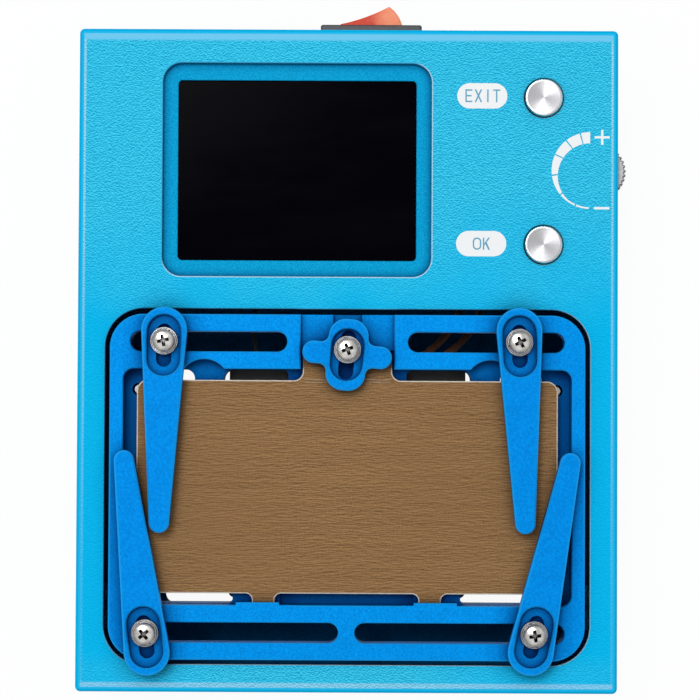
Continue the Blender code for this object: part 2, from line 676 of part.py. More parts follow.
def build_case(station):
    """The folded case with its openings, its screw tabs and the studs that hold the board."""
    shape = bmesh.new()
    bmesh.ops.create_cube(shape, size=1.0)
    for vertex in shape.verts:
        vertex.co = Vector(
            (
                vertex.co.x * CASE_WIDTH,
                vertex.co.y * CASE_DEPTH,
                CASE_BASE + (vertex.co.z + 0.5) * CASE_HEIGHT,
            )
        )
    folds = [edge for edge in shape.edges if max(end.co.z for end in edge.verts) > CASE_TOP - BITE]
    bmesh.ops.bevel(shape, geom=folds, offset=CASE_BEND, offset_type="OFFSET", segments=BEND_STEPS,
                    profile=0.5, affect="EDGES")
    mesh = bpy.data.meshes.new("top_shell")
    shape.to_mesh(mesh)
    shape.free()
    case = new_piece("top_shell", mesh, SKY_PAINT, station)
    hollow = block("cut_inside", (-INNER_X, -INNER_Y, CASE_BASE - OVERCUT),
                   (INNER_X, INNER_Y, CASE_UNDERSIDE), SKY_PAINT, station)
    cut(case, hollow)

    for name, loop in (
        ("cut_opening", rounded(0, OPENING_Y, OPENING_WIDTH, OPENING_DEPTH, OPENING_CORNER, 7)),
        ("cut_display", rounded(DISPLAY_X, DISPLAY_Y, RECESS_WIDTH, RECESS_DEPTH, RECESS_CORNER)),
        ("cut_exit", circle(BUTTON_X, EXIT_BUTTON_Y, BUTTON_HOLE_RADIUS)),
        ("cut_ok", circle(BUTTON_X, OK_BUTTON_Y, BUTTON_HOLE_RADIUS)),
    ):
        cutter = slab(name, [loop], CASE_UNDERSIDE - OVERCUT, CASE_TOP + OVERCUT, SKY_PAINT, station)
        cut(case, cutter)

    wheel_base = BOARD_TOP + WHEEL_LIFT
    wheel_chord = math.sqrt(WHEEL_RADIUS**2 - (INNER_X - WHEEL_X) ** 2)
    wheel_slot = block(
        "cut_wheel_slot",
        (INNER_X - OVERCUT, WHEEL_Y - wheel_chord - WHEEL_SLOT_MARGIN, wheel_base - WHEEL_SLOT_MARGIN),
        (
            CASE_WIDTH / 2 + OVERCUT,
            WHEEL_Y + wheel_chord + WHEEL_SLOT_MARGIN,
            wheel_base + WHEEL_THICKNESS + WHEEL_SLOT_MARGIN,
        ),
        SKY_PAINT,
        station,
    )
    cut(case, wheel_slot)
    switch_hole = block(
        "cut_switch",
        (
            SWITCH_X - HOUSING_WIDTH / 2 - SLIDE_GAP,
            INNER_Y - OVERCUT,
            SWITCH_Z - HOUSING_HEIGHT / 2 - SLIDE_GAP,
        ),
        (
            SWITCH_X + HOUSING_WIDTH / 2 + SLIDE_GAP,
            BACK_FACE + OVERCUT,
            SWITCH_Z + HOUSING_HEIGHT / 2 + SLIDE_GAP,
        ),
        SKY_PAINT,
        station,
    )
    cut(case, switch_hole)
    jack_hole = rod(
        "cut_jack",
        JACK_BARREL_RADIUS + SLIDE_GAP,
        SHEET + 2 * OVERCUT,
        SKY_PAINT,
        station,
        (JACK_X, BACK_FACE - SHEET / 2, jack_height()),
        "Y",
    )
    cut(case, jack_hole)

    tab_base = FLOOR_TOP + SEAT_GAP
    for side_x in (-1, 1):
        for side_y in (-1, 1):
            label = f"{side_x}_{side_y}"
            wall = side_x * (INNER_X + SHEET / 2)
            inner = side_x * (INNER_X - TAB_REACH)
            tab = block(
                f"tab{label}",
                (min(wall, inner), side_y * TAB_Y - TAB_WIDTH / 2, tab_base),
                (max(wall, inner), side_y * TAB_Y + TAB_WIDTH / 2, tab_base + SHEET),
                SKY_PAINT,
                station,
            )
            fuse(case, tab)
            hole = rod(
                f"cut_tab{label}",
                SCREW_SHANK_RADIUS + SLIDE_GAP,
                SHEET + 2 * OVERCUT,
                SKY_PAINT,
                station,
                (side_x * cover_screw_x(), side_y * TAB_Y, tab_base + SHEET / 2),
                steps=12,
            )
            cut(case, hole)
            stud_y = BOARD_STUD_BACK if side_y > 0 else BOARD_STUD_FRONT
            low = BOARD_TOP + SEAT_GAP
            high = CASE_TOP - SHEET / 2
            stud = rod(
                f"stud{label}",
                BOARD_STUD_RADIUS,
                high - low,
                SKY_PAINT,
                station,
                (side_x * BOARD_STUD_X, stud_y, (low + high) / 2),
                steps=12,
            )
            fuse(case, stud)
    return case


def cover_screw_x():
    """How far the cover screws stand from the middle of the case."""
    return INNER_X - TAB_HOLE_INSET


def jack_height():
    """The height of the power socket's bore, under the board."""
    return BOARD_BASE - SEAT_GAP - JACK_HEIGHT / 2


def build_floor(station):
    """The bottom plate with its window, vents and holes, its screws and the rubber feet."""
    width = 2 * (INNER_X - SEAT_GAP)
    depth = 2 * (INNER_Y - SEAT_GAP)
    loops = [
        rounded(0, 0, width, depth, FLOOR_CORNER, 3),
        rounded(0, FRAME_Y, WINDOW_WIDTH, WINDOW_DEPTH, WINDOW_CORNER),
    ]
    corners = [(x, y) for x in (-1, 1) for y in (-1, 1)]
    for side_x, side_y in corners:
        hole = SCREW_SHANK_RADIUS + SLIDE_GAP
        loops.append(circle(side_x * cover_screw_x(), side_y * TAB_Y, hole, 12))
        pillar_y = FRAME_Y + side_y * PILLAR_Y
        loops.append(circle(side_x * PILLAR_X, pillar_y, PILLAR_STUD_RADIUS + SLIDE_GAP, 12))
    for index in range(VENT_COUNT):
        x = (index - (VENT_COUNT - 1) / 2) * VENT_PITCH
        half = VENT_WIDTH / 2
        reach = VENT_LENGTH / 2 - half
        loops.append(upright_stadium(x, VENT_Y - reach, VENT_Y + reach, half, 4))
    slab("bottom_plate", loops, CASE_BASE, FLOOR_TOP, SKY_PAINT, station)

    for side_x, side_y in corners:
        label = f"{'rear' if side_y > 0 else 'front'}_{'right' if side_x > 0 else 'left'}"
        profile = [
            (0.0, FOOT_HEIGHT),
            (FOOT_RADIUS, FOOT_HEIGHT),
            (FOOT_RADIUS, FOOT_HEIGHT / 2),
            (FOOT_RADIUS - FOOT_TAPER, 0.0),
            (0.0, 0.0),
        ]
        turned(f"foot_{label}", profile, RUBBER, station, (side_x * FOOT_X, side_y * FOOT_Y, 0.0))
        under = CASE_BASE - THIN_GAP
        profile = [
            (0.0, under - COVER_HEAD_HEIGHT + COVER_SCREW_LENGTH + COVER_HEAD_HEIGHT),
            (SCREW_SHANK_RADIUS, under + COVER_SCREW_LENGTH),
            (SCREW_SHANK_RADIUS, under),
            (COVER_HEAD_RADIUS, under),
            (COVER_HEAD_RADIUS, under - COVER_HEAD_HEIGHT * 0.6),
            (COVER_HEAD_RADIUS * 0.8, under - COVER_HEAD_HEIGHT),
            (0.0, under - COVER_HEAD_HEIGHT),
        ]
        place = (side_x * cover_screw_x(), side_y * TAB_Y, 0.0)
        turned(f"cover_screw_{label}", profile, STEEL, station, place, 16)


def build_frame(frame):
    """The clamp frame: a block with a well, rests, slots with nut channels and pockets.

    Cuts that would share a wall or a floor are stepped by the width of a milling mark.
    """
    opening_x = WELL_HALF_X - LEDGE
    inside = WELL_HALF_Y
    opening_y = inside - 2 * MILL_STEP
    rest = WELL_HALF_Y - REST_REACH
    lug_in, lug_out = LUG_X - LUG_WIDTH / 2, LUG_X + LUG_WIDTH / 2
    opening = mirrored(
        [
            (FRONT_REST_HALF, -rest, 1.0 * MM),
            (FRONT_REST_HALF, -opening_y, 1.0 * MM),
            (opening_x, -opening_y, WELL_CORNER),
            (opening_x, opening_y, WELL_CORNER),
            (lug_out, opening_y, LUG_FILLET),
            (lug_out, rest, LUG_WIDTH / 4),
            (lug_in, rest, LUG_WIDTH / 4),
            (lug_in, opening_y, LUG_FILLET),
            (REAR_REST_HALF, opening_y, REST_FILLET),
            (REAR_REST_HALF, rest, REST_FILLET),
        ]
    )
    holes = [
        circle(side_x * PILLAR_X, side_y * PILLAR_Y, LEDGE_HOLE_RADIUS, 16)
        for side_x in (-1, 1)
        for side_y in (-1, 1)
    ]
    outline = rounded(0, 0, FRAME_WIDTH, FRAME_DEPTH, FRAME_CORNER, 7)
    loops = [outline, filleted(opening), *holes]
    body = slab("clamp_frame", loops, FRAME_BASE, FRAME_TOP, FRAME_BLUE, frame)

    over = FRAME_TOP + OVERCUT
    rest_top = FRAME_TOP - REST_DROP
    well = mirrored(
        [
            (LIP_INNER, -inside, LIP_FILLET),
            (LIP_INNER, -inside + LIP_PROUD, LIP_FILLET),
            (LIP_OUTER, -inside + LIP_PROUD, LIP_FILLET),
            (LIP_OUTER, -inside, LIP_FILLET),
            (WELL_HALF_X, -inside, WELL_CORNER),
            (WELL_HALF_X, inside, WELL_CORNER),
        ]
    )
    cut(body, slab("cut_well", [filleted(well)], rest_top, over, FRAME_BLUE, frame))
    ledge_inner = lug_out + LUG_FILLET + OVERCUT
    ledge_outer, ledge_y = WELL_HALF_X - MILL_STEP, inside - MILL_STEP
    for side in (-1, 1):
        ledge = [
            (side * ledge_inner, -ledge_y, 0.0),
            (side * ledge_outer, -ledge_y, WELL_CORNER),
            (side * ledge_outer, ledge_y, WELL_CORNER),
            (side * ledge_inner, ledge_y, 0.0),
        ]
        low = FRAME_TOP - LEDGE_DROP
        cut(body, slab(f"cut_ledge_{side}", [filleted(ledge)], low, over, FRAME_BLUE, frame))
        round_pocket = circle(side * POCKET_X, inside - POCKET_INSET, POCKET_RADIUS, 32)
        low = rest_top - MILL_STEP
        cut(body, slab(f"cut_round_pocket_{side}", [round_pocket], low, over, FRAME_BLUE, frame))
        toe_half = TOE_WIDTH / 2 + SEAT_GAP + THIN_GAP
        toe_end = PLATE_DEPTH / 2 + TOE_REACH + SEAT_GAP
        toe_pocket = block(
            f"cut_toe_{side}",
            (side * TOE_X - toe_half, -toe_end, rest_top - MILL_STEP),
            (side * TOE_X + toe_half, -inside + OVERCUT, FRAME_TOP - LIP_THICKNESS),
            FRAME_BLUE,
            frame,
        )
        cut(body, toe_pocket)
        for inner, y in ((REAR_SLOT_INNER, SLOT_LINE), (FRONT_SLOT_INNER, -SLOT_LINE)):
            start, end = side * (inner + SLOT_WIDTH / 2), side * (SLOT_OUTER - SLOT_WIDTH / 2)
            label = f"{'rear' if y > 0 else 'front'}_{side}"
            slot = stadium(start, end, y, SLOT_WIDTH / 2)
            low, high = FRAME_TOP - SLOT_LIP, FRAME_TOP + OVERCUT
            cut(body, slab(f"cut_slot_{label}", [slot], low - OVERCUT, high, FRAME_BLUE, frame))
            channel = stadium(start, end, y, NUT_CHANNEL_WIDTH / 2, 6)
            under = FRAME_BASE - OVERCUT
            cut(body, slab(f"cut_nut_channel_{label}", [channel], under, low, FRAME_BLUE, frame))

    rear = FRAME_DEPTH / 2 + OVERCUT
    tongue_seat = TONGUE_REACH + SEAT_GAP
    relief_half = TOE_X - TOE_WIDTH / 2 - OVERCUT
    for name, half, near, far, drop in (
        ("cut_clamp_channel", CHANNEL_HALF, inside - OVERCUT, rear, PLATE_DROP),
        ("cut_tongue_seat", CHANNEL_HALF - MILL_STEP, rest + OVERCUT, tongue_seat, REST_DROP + MILL_STEP),
        ("cut_groove", GROOVE_HALF, inside + OVERCUT, rear, PLATE_DROP + GROOVE_DEPTH),
        ("cut_relief", relief_half, MILL_STEP - inside, OVERCUT - rest, REST_DROP + REST_RELIEF),
    ):
        cut(body, block(name, (-half, near, FRAME_TOP - drop), (half, far, over), FRAME_BLUE, frame))

    tapped = SCREW_SHANK_RADIUS + THIN_GAP
    bore = rod("cut_clamp_bore", tapped, FRAME_THICKNESS, FRAME_BLUE, frame,
               (0.0, CLAMP_SCREW_Y, FRAME_TOP - FRAME_THICKNESS / 2 + OVERCUT), steps=16)
    cut(body, bore)
    for side in (-1, 1):
        depth = CARRIER_SCREW_BITE + SEAT_GAP
        bore = rod(f"cut_carrier_bore_{side}", tapped, depth + OVERCUT, FRAME_BLUE, frame,
                   (0.0, side * CARRIER_SCREW_Y, FRAME_BASE + (depth - OVERCUT) / 2), steps=16)
        cut(body, bore)
    return body


def build_pillars(frame):
    """Hexagon pillars from the bottom plate to the frame's ledges, with a stud at each end."""
    low, high = FLOOR_TOP + SEAT_GAP, FRAME_BASE - SEAT_GAP
    for side_x in (-1, 1):
        for side_y in (-1, 1):
            label = f"{'rear' if side_y > 0 else 'front'}_{'right' if side_x > 0 else 'left'}"
            x, y = side_x * PILLAR_X, side_y * PILLAR_Y
            outline = hexagon(x, y, PILLAR_FLATS)
            pillar = slab(f"pillar_{label}", [outline], low, high, STEEL, frame)
            bottom, top = CASE_BASE, FRAME_BASE + PILLAR_STUD_RISE
            stud = rod(f"pillar_stud_{label}", PILLAR_STUD_RADIUS, top - bottom, STEEL, frame,
                       (x, y, (top + bottom) / 2), steps=12)
            fuse(pillar, stud)


def build_mould_plate(frame):
    """The heated plate: its tongue goes under the centre clamp and its toes under the front bar."""
    half_x, half_y = PLATE_WIDTH / 2, PLATE_DEPTH / 2
    toe_in, toe_out = TOE_X - TOE_WIDTH / 2, TOE_X + TOE_WIDTH / 2
    toe_end = -half_y - TOE_REACH
    notch_floor = CLAMP_SCREW_Y - SCREW_SHANK_RADIUS - SEAT_GAP - THIN_GAP
    outline = mirrored(
        [
            (toe_in, -half_y, TOE_FILLET),
            (toe_in, toe_end, TOE_WIDTH / 8),
            (toe_out, toe_end, TOE_WIDTH / 8),
            (toe_out, -half_y, TOE_FILLET),
            (half_x, -half_y, PLATE_CORNER),
            (half_x, half_y, PLATE_CORNER),
            (TONGUE_HALF, half_y, TONGUE_FILLET),
            (TONGUE_HALF, TONGUE_REACH, 1.0 * MM),
            (TONGUE_NOTCH_HALF, TONGUE_REACH, 0.0),
            (TONGUE_NOTCH_HALF, notch_floor, 0.0),
        ]
    )
    slab("mould_plate", [filleted(outline)], PLATE_TOP - PLATE_THICKNESS, PLATE_TOP, BRONZE, frame,
         PLATE_EDGE)


def build_heater(frame):
    """The heat-spreading block, its ceramic heater and the carrier screwed under the frame."""
    block_base = BLOCK_TOP - BLOCK_THICKNESS
    spreader = slab("heater_block", [rounded(0, 0, BLOCK_WIDTH, BLOCK_DEPTH, BLOCK_CORNER)], block_base,
                    BLOCK_TOP, ALUMINIUM, frame, PLATE_EDGE)
    probe_hole = rod("cut_probe", SENSOR_RADIUS + SLIDE_GAP, 2 * (SENSOR_DEPTH + SEAT_GAP), ALUMINIUM,
                     frame, (SENSOR_HOLE_X, LEAD_HOLE_Y, block_base), steps=12)
    cut(spreader, probe_hole)

    ceramic_base = CERAMIC_TOP - CERAMIC_THICKNESS
    sensor_pass = circle(SENSOR_HOLE_X, LEAD_HOLE_Y, SENSOR_RADIUS + SEAT_GAP, 12)
    slab("ceramic_heater", [rounded(0, 0, CERAMIC_WIDTH, CERAMIC_DEPTH, CERAMIC_CORNER), sensor_pass],
         ceramic_base, CERAMIC_TOP, CERAMIC, frame)

    carrier_base = CARRIER_TOP - CARRIER_THICKNESS
    middle, depth = (CARRIER_REAR - CARRIER_FRONT) / 2, CARRIER_REAR + CARRIER_FRONT
    loops = [
        rounded(0, middle, CARRIER_WIDTH, depth, CARRIER_CORNER, 4),
        circle(SENSOR_HOLE_X, LEAD_HOLE_Y, SENSOR_RADIUS + SEAT_GAP, 12),
    ]
    for side in (-1, 1):
        loops.append(circle(0, side * CARRIER_SCREW_Y, SCREW_SHANK_RADIUS + SLIDE_GAP, 16))
        lead_x = LEAD_HOLE_X + side * LEAD_SPACING / 2
        loops.append(circle(lead_x, LEAD_HOLE_Y, LEAD_HOLE_RADIUS, 12))
    slab("heater_carrier", loops, carrier_base, CARRIER_TOP, BLACK_PLASTIC, frame)

    for side, label in ((-1, "front"), (1, "rear")):
        under = carrier_base - THIN_GAP
        tip = FRAME_BASE + CARRIER_SCREW_BITE
        profile = [
            (0.0, tip),
            (SCREW_SHANK_RADIUS, tip),
            (SCREW_SHANK_RADIUS, under),
            (COVER_HEAD_RADIUS, under),
            (COVER_HEAD_RADIUS, under - COVER_HEAD_HEIGHT * 0.6),
            (COVER_HEAD_RADIUS * 0.8, under - COVER_HEAD_HEIGHT),
            (0.0, under - COVER_HEAD_HEIGHT),
        ]
        place = (0.0, side * CARRIER_SCREW_Y, 0.0)
        turned(f"carrier_screw_{label}", profile, STEEL, frame, place, 16)


def clamp_screw(name, seat, tip, parent):
    """A pan-head screw with its captive spring washer, from its seat height down to its tip."""
    washer_top = seat + SPRING_WASHER_THICKNESS
    neck = SPRING_WASHER_RADIUS - WASHER_NECK
    head = washer_top + THIN_GAP
    top = head + CLAMP_HEAD_HEIGHT
    crown = [
        (
            CLAMP_HEAD_RADIUS * math.sin(math.radians(angle)),
            top - HEAD_CROWN * (1 - math.cos(math.radians(angle))),
        )
        for angle in (0, 25, 50, 75, 90)
    ]
    profile = [
        *crown,
        (CLAMP_HEAD_RADIUS, head),
        (neck, head),
        (neck, washer_top),
        (SPRING_WASHER_RADIUS, washer_top),
        (SPRING_WASHER_RADIUS, seat),
        (SCREW_SHANK_RADIUS, seat),
        (SCREW_SHANK_RADIUS, tip),
        (0.0, tip),
    ]
    return turned(name, profile, STEEL, parent)


def flat_washer(name, base, parent):
    """A flat washer lying at a height about its parent's axis."""
    loops = [circle(0, 0, FLAT_WASHER_RADIUS), circle(0, 0, SCREW_SHANK_RADIUS + THIN_GAP)]
    return slab(name, loops, base, base + FLAT_WASHER_THICKNESS, STEEL, parent)


def arm_outline():
    """The hull of the heel circle at the origin and the tip circle along +Y."""
    lean = math.degrees(math.asin((ARM_HEEL_RADIUS - ARM_TIP_RADIUS) / ARM_LENGTH))
    tip = arc(0, ARM_LENGTH, ARM_TIP_RADIUS, lean, 180 - lean, 8)
    heel = arc(0, 0, ARM_HEEL_RADIUS, 180 - lean, 360 + lean, 14)
    return tip + heel


def build_arm(frame, name, side, end_distance, bar, lean, screw_offset):
    """One clamp arm on its screw, washer and slot nut."""
    screw_x = side * (SLOT_OUTER - end_distance)
    heading = lean if bar < 0 else 180.0 + lean
    turn = -heading if bar < 0 else heading
    axis = new_empty(f"axis_{name}", (screw_x, bar * SLOT_LINE, 0.0), frame, turn)
    recess_floor = ARM_BASE + ARM_THICKNESS - ARM_RECESS_DEPTH
    washer_base = recess_floor + THIN_GAP
    nut_top = FRAME_TOP - SLOT_LIP - SEAT_GAP
    nut_base = nut_top - NUT_THICKNESS
    screw_seat = washer_base + FLAT_WASHER_THICKNESS + THIN_GAP
    clamp_screw(f"clamp_screw_{name}", screw_seat, nut_base - SCREW_OVERRUN, axis)
    flat_washer(f"flat_washer_{name}", washer_base, axis)

    nut_loops = [hexagon(0, 0, NUT_FLATS), circle(0, 0, SCREW_SHANK_RADIUS + THIN_GAP, 16)]
    slab(f"slot_nut_{name}", nut_loops, nut_base, nut_top, STEEL, axis,
         rotation=(0.0, 0.0, math.radians(-turn)))

    low, high = ARM_SLOT_START, ARM_SLOT_START + ARM_SLOT_TRAVEL
    slot = upright_stadium(0, low, high, ARM_SLOT_HALF)
    arm = slab(f"arm_{name}", [arm_outline(), slot], ARM_BASE, ARM_BASE + ARM_THICKNESS, ARM_BLUE,
               axis, ARM_EDGE, location=(0.0, -screw_offset, 0.0))
    recess = upright_stadium(0, low, high, ARM_RECESS_HALF, 10)
    cutter = slab(f"cut_recess_{name}", [recess], recess_floor, recess_floor + 3 * ARM_RECESS_DEPTH,
                  ARM_BLUE, axis, location=(0.0, -screw_offset, 0.0))
    cut(arm, cutter)


def build_centre_clamp(frame):
    """The short cross-shaped clamp that holds the mould plate's tongue down."""
    axis = new_empty("axis_centre_clamp", (0.0, CLAMP_SCREW_Y, 0.0), frame, CLAMP_TURN)
    recess_floor = CLAMP_BASE + ARM_THICKNESS - ARM_RECESS_DEPTH
    washer_base = recess_floor + THIN_GAP
    seat = washer_base + FLAT_WASHER_THICKNESS + THIN_GAP
    clamp_screw("clamp_screw_centre", seat, PLATE_TOP - CLAMP_SCREW_BITE, axis)
    flat_washer("flat_washer_centre", washer_base, axis)

    body, lobe = CLAMP_BODY_RADIUS, CLAMP_LOBE_RADIUS
    half_length, half_span = CLAMP_LENGTH / 2, CLAMP_SPAN / 2
    body_corner, lobe_corner = body * 0.86, lobe * 0.98
    outline = mirrored(
        [
            (body, -half_length, body_corner),
            (body, -lobe, CLAMP_FILLET),
            (half_span, -lobe, lobe_corner),
            (half_span, lobe, lobe_corner),
            (body, lobe, CLAMP_FILLET),
            (body, half_length, body_corner),
        ]
    )
    slot = upright_stadium(0, -CLAMP_SLOT_HALF_TRAVEL, CLAMP_SLOT_HALF_TRAVEL, ARM_SLOT_HALF)
    top = CLAMP_BASE + ARM_THICKNESS
    place = {"location": (0.0, -CLAMP_SCREW_OFFSET, 0.0)}
    clamp = slab("centre_clamp", [filleted(outline), slot], CLAMP_BASE, top, ARM_BLUE, axis, ARM_EDGE,
                 **place)
    recess = upright_stadium(0, -CLAMP_RECESS_HALF_TRAVEL, CLAMP_RECESS_HALF_TRAVEL, CLAMP_RECESS_HALF,
                             10)
    cut(clamp, slab("cut_recess_centre", [recess], recess_floor, top + OVERCUT, ARM_BLUE, axis, **place))


def build_display(station):
    """The blue facia behind the case's window, the black glass in it and the panel under that."""
    facia_base = FACIA_TOP - FACIA_THICKNESS
    width, depth = RECESS_WIDTH + 2 * FACIA_MARGIN, RECESS_DEPTH + 2 * FACIA_MARGIN
    window = rounded(DISPLAY_X, DISPLAY_Y, GLASS_WIDTH, GLASS_DEPTH, GLASS_CORNER, 4)
    outline = rounded(DISPLAY_X, DISPLAY_Y, width, depth, RECESS_CORNER)
    slab("display_facia", [outline, window], facia_base, FACIA_TOP, INNER_BLUE, station)
    glass = rounded(DISPLAY_X, DISPLAY_Y, GLASS_WIDTH - 2 * THIN_GAP, GLASS_DEPTH - 2 * THIN_GAP,
                    GLASS_CORNER, 4)
    glass_top = FACIA_TOP - GLASS_SUNK
    slab("display_glass", [glass], glass_top - GLASS_THICKNESS, glass_top, BLACK_GLASS, station)
    panel = rounded(DISPLAY_X, DISPLAY_Y, GLASS_WIDTH + 2 * PANEL_MARGIN, GLASS_DEPTH + PANEL_MARGIN,
                    PANEL_CORNER, 2)
    slab("display_panel", [panel], PANEL_TOP - PANEL_THICKNESS, PANEL_TOP, ALUMINIUM, station)


def build_board(station):
    """The control board, cut out round the power switch, with the parts soldered to it."""
    notch_x = HOUSING_WIDTH / 2 + BOARD_NOTCH_MARGIN
    outline = [
        (BOARD_HALF_WIDTH, BOARD_FRONT),
        (BOARD_HALF_WIDTH, BOARD_BACK),
        (SWITCH_X + notch_x, BOARD_BACK),
        (SWITCH_X + notch_x, BOARD_NOTCH_FRONT),
        (SWITCH_X - notch_x, BOARD_NOTCH_FRONT),
        (SWITCH_X - notch_x, BOARD_BACK),
        (-BOARD_HALF_WIDTH, BOARD_BACK),
        (-BOARD_HALF_WIDTH, BOARD_FRONT),
    ]
    board = slab("control_board", [outline], BOARD_BASE, BOARD_TOP, BOARD_GREEN, station)
    under = BOARD_BASE + BITE
    for name, x, front, (width, depth, height) in (
        ("terminal", TERMINAL_X, BOARD_FRONT + SEAT_GAP, TERMINAL_SIZE),
        ("sensor_socket", SENSOR_SOCKET_X, BOARD_FRONT + SEAT_GAP, SENSOR_SOCKET_SIZE),
        ("transistor", TRANSISTOR_X, COMPONENT_Y - TRANSISTOR_SIZE[1] / 2, TRANSISTOR_SIZE),
        ("controller_chip", DISPLAY_X, COMPONENT_Y, CHIP_SIZE),
    ):
        low = (x - width / 2, front, BOARD_BASE - height)
        high = (x + width / 2, front + depth, under)
        fuse(board, block(f"board_{name}", low, high, BOARD_GREEN, station))
    for name, x, radius, height in (
        ("capacitor", CAPACITOR_X, CAPACITOR_RADIUS, CAPACITOR_HEIGHT),
        ("buzzer", BUZZER_X, BUZZER_RADIUS, BUZZER_HEIGHT),
    ):
        centre = (x, COMPONENT_Y, (BOARD_BASE - height + under) / 2)
        fuse(board, rod(f"board_{name}", radius, under - BOARD_BASE + height, BOARD_GREEN, station,
                        centre, steps=16))


def build_buttons(station):
    """The two metal push buttons and the tactile switches under them."""
    flange_top = CASE_UNDERSIDE - SEAT_GAP
    stem_end = flange_top - BUTTON_FLANGE - BUTTON_STEM
    top = CASE_TOP + BUTTON_PROUD
    for label, y in (("exit", EXIT_BUTTON_Y), ("ok", OK_BUTTON_Y)):
        profile = [
            (0.0, top - BUTTON_DISH),
            (BUTTON_RADIUS * 0.5, top - BUTTON_DISH * 0.75),
            (BUTTON_RADIUS - 0.35 * MM, top),
            (BUTTON_RADIUS, top - 0.3 * MM),
            (BUTTON_RADIUS, flange_top),
            (BUTTON_FLANGE_RADIUS, flange_top),
            (BUTTON_FLANGE_RADIUS, flange_top - BUTTON_FLANGE),
            (BUTTON_STEM_RADIUS, flange_top - BUTTON_FLANGE),
            (BUTTON_STEM_RADIUS, stem_end),
            (0.0, stem_end),
        ]
        turned(f"{label}_button", profile, STEEL, station, (BUTTON_X, y, 0.0), 32)

        base, half = BOARD_TOP + SEAT_GAP, TACT_SIZE / 2
        switch = block(f"tact_switch_{label}", (BUTTON_X - half, y - half, base),
                       (BUTTON_X + half, y + half, base + TACT_BODY), BLACK_PLASTIC, station)
        plunger_top = stem_end - BUTTON_TRAVEL - THIN_GAP
        low = base + TACT_BODY - BITE
        fuse(switch, rod(f"plunger_{label}", TACT_PLUNGER_RADIUS, plunger_top - low, BLACK_PLASTIC,
                         station, (BUTTON_X, y, (plunger_top + low) / 2), steps=16))


def build_wheel(station):
    """The knurled thumbwheel on its pin, and the encoder that carries it on the board."""
    wheel_base = BOARD_TOP + WHEEL_LIFT
    axis = new_empty("axis_thumbwheel", (WHEEL_X, WHEEL_Y, 0.0), station)
    rim = []
    for index in range(WHEEL_TEETH):
        for share, radius in ((0.0, WHEEL_RADIUS), (0.45, WHEEL_RADIUS), (0.72, WHEEL_RADIUS - WHEEL_TOOTH)):
            angle = 2 * math.pi * (index + share) / WHEEL_TEETH
            rim.append((radius * math.cos(angle), radius * math.sin(angle)))
    bore = circle(0, 0, WHEEL_BORE_RADIUS, 16)
    slab("thumbwheel", [rim, bore], wheel_base, wheel_base + WHEEL_THICKNESS, STEEL, axis)

    base = BOARD_TOP + SEAT_GAP
    right = INNER_X - SEAT_GAP
    half = ENCODER_DEPTH / 2
    encoder = block("encoder_base", (right - ENCODER_WIDTH, WHEEL_Y - half, base),
                    (right, WHEEL_Y + half, base + ENCODER_HEIGHT), BLACK_PLASTIC, station)
    low, high = base + ENCODER_HEIGHT - BITE, wheel_base + WHEEL_THICKNESS
    fuse(encoder, rod("encoder_pin", WHEEL_BORE_RADIUS - SLIDE_GAP, high - low, BLACK_PLASTIC, station,
                      (WHEEL_X, WHEEL_Y, (low + high) / 2), steps=16))


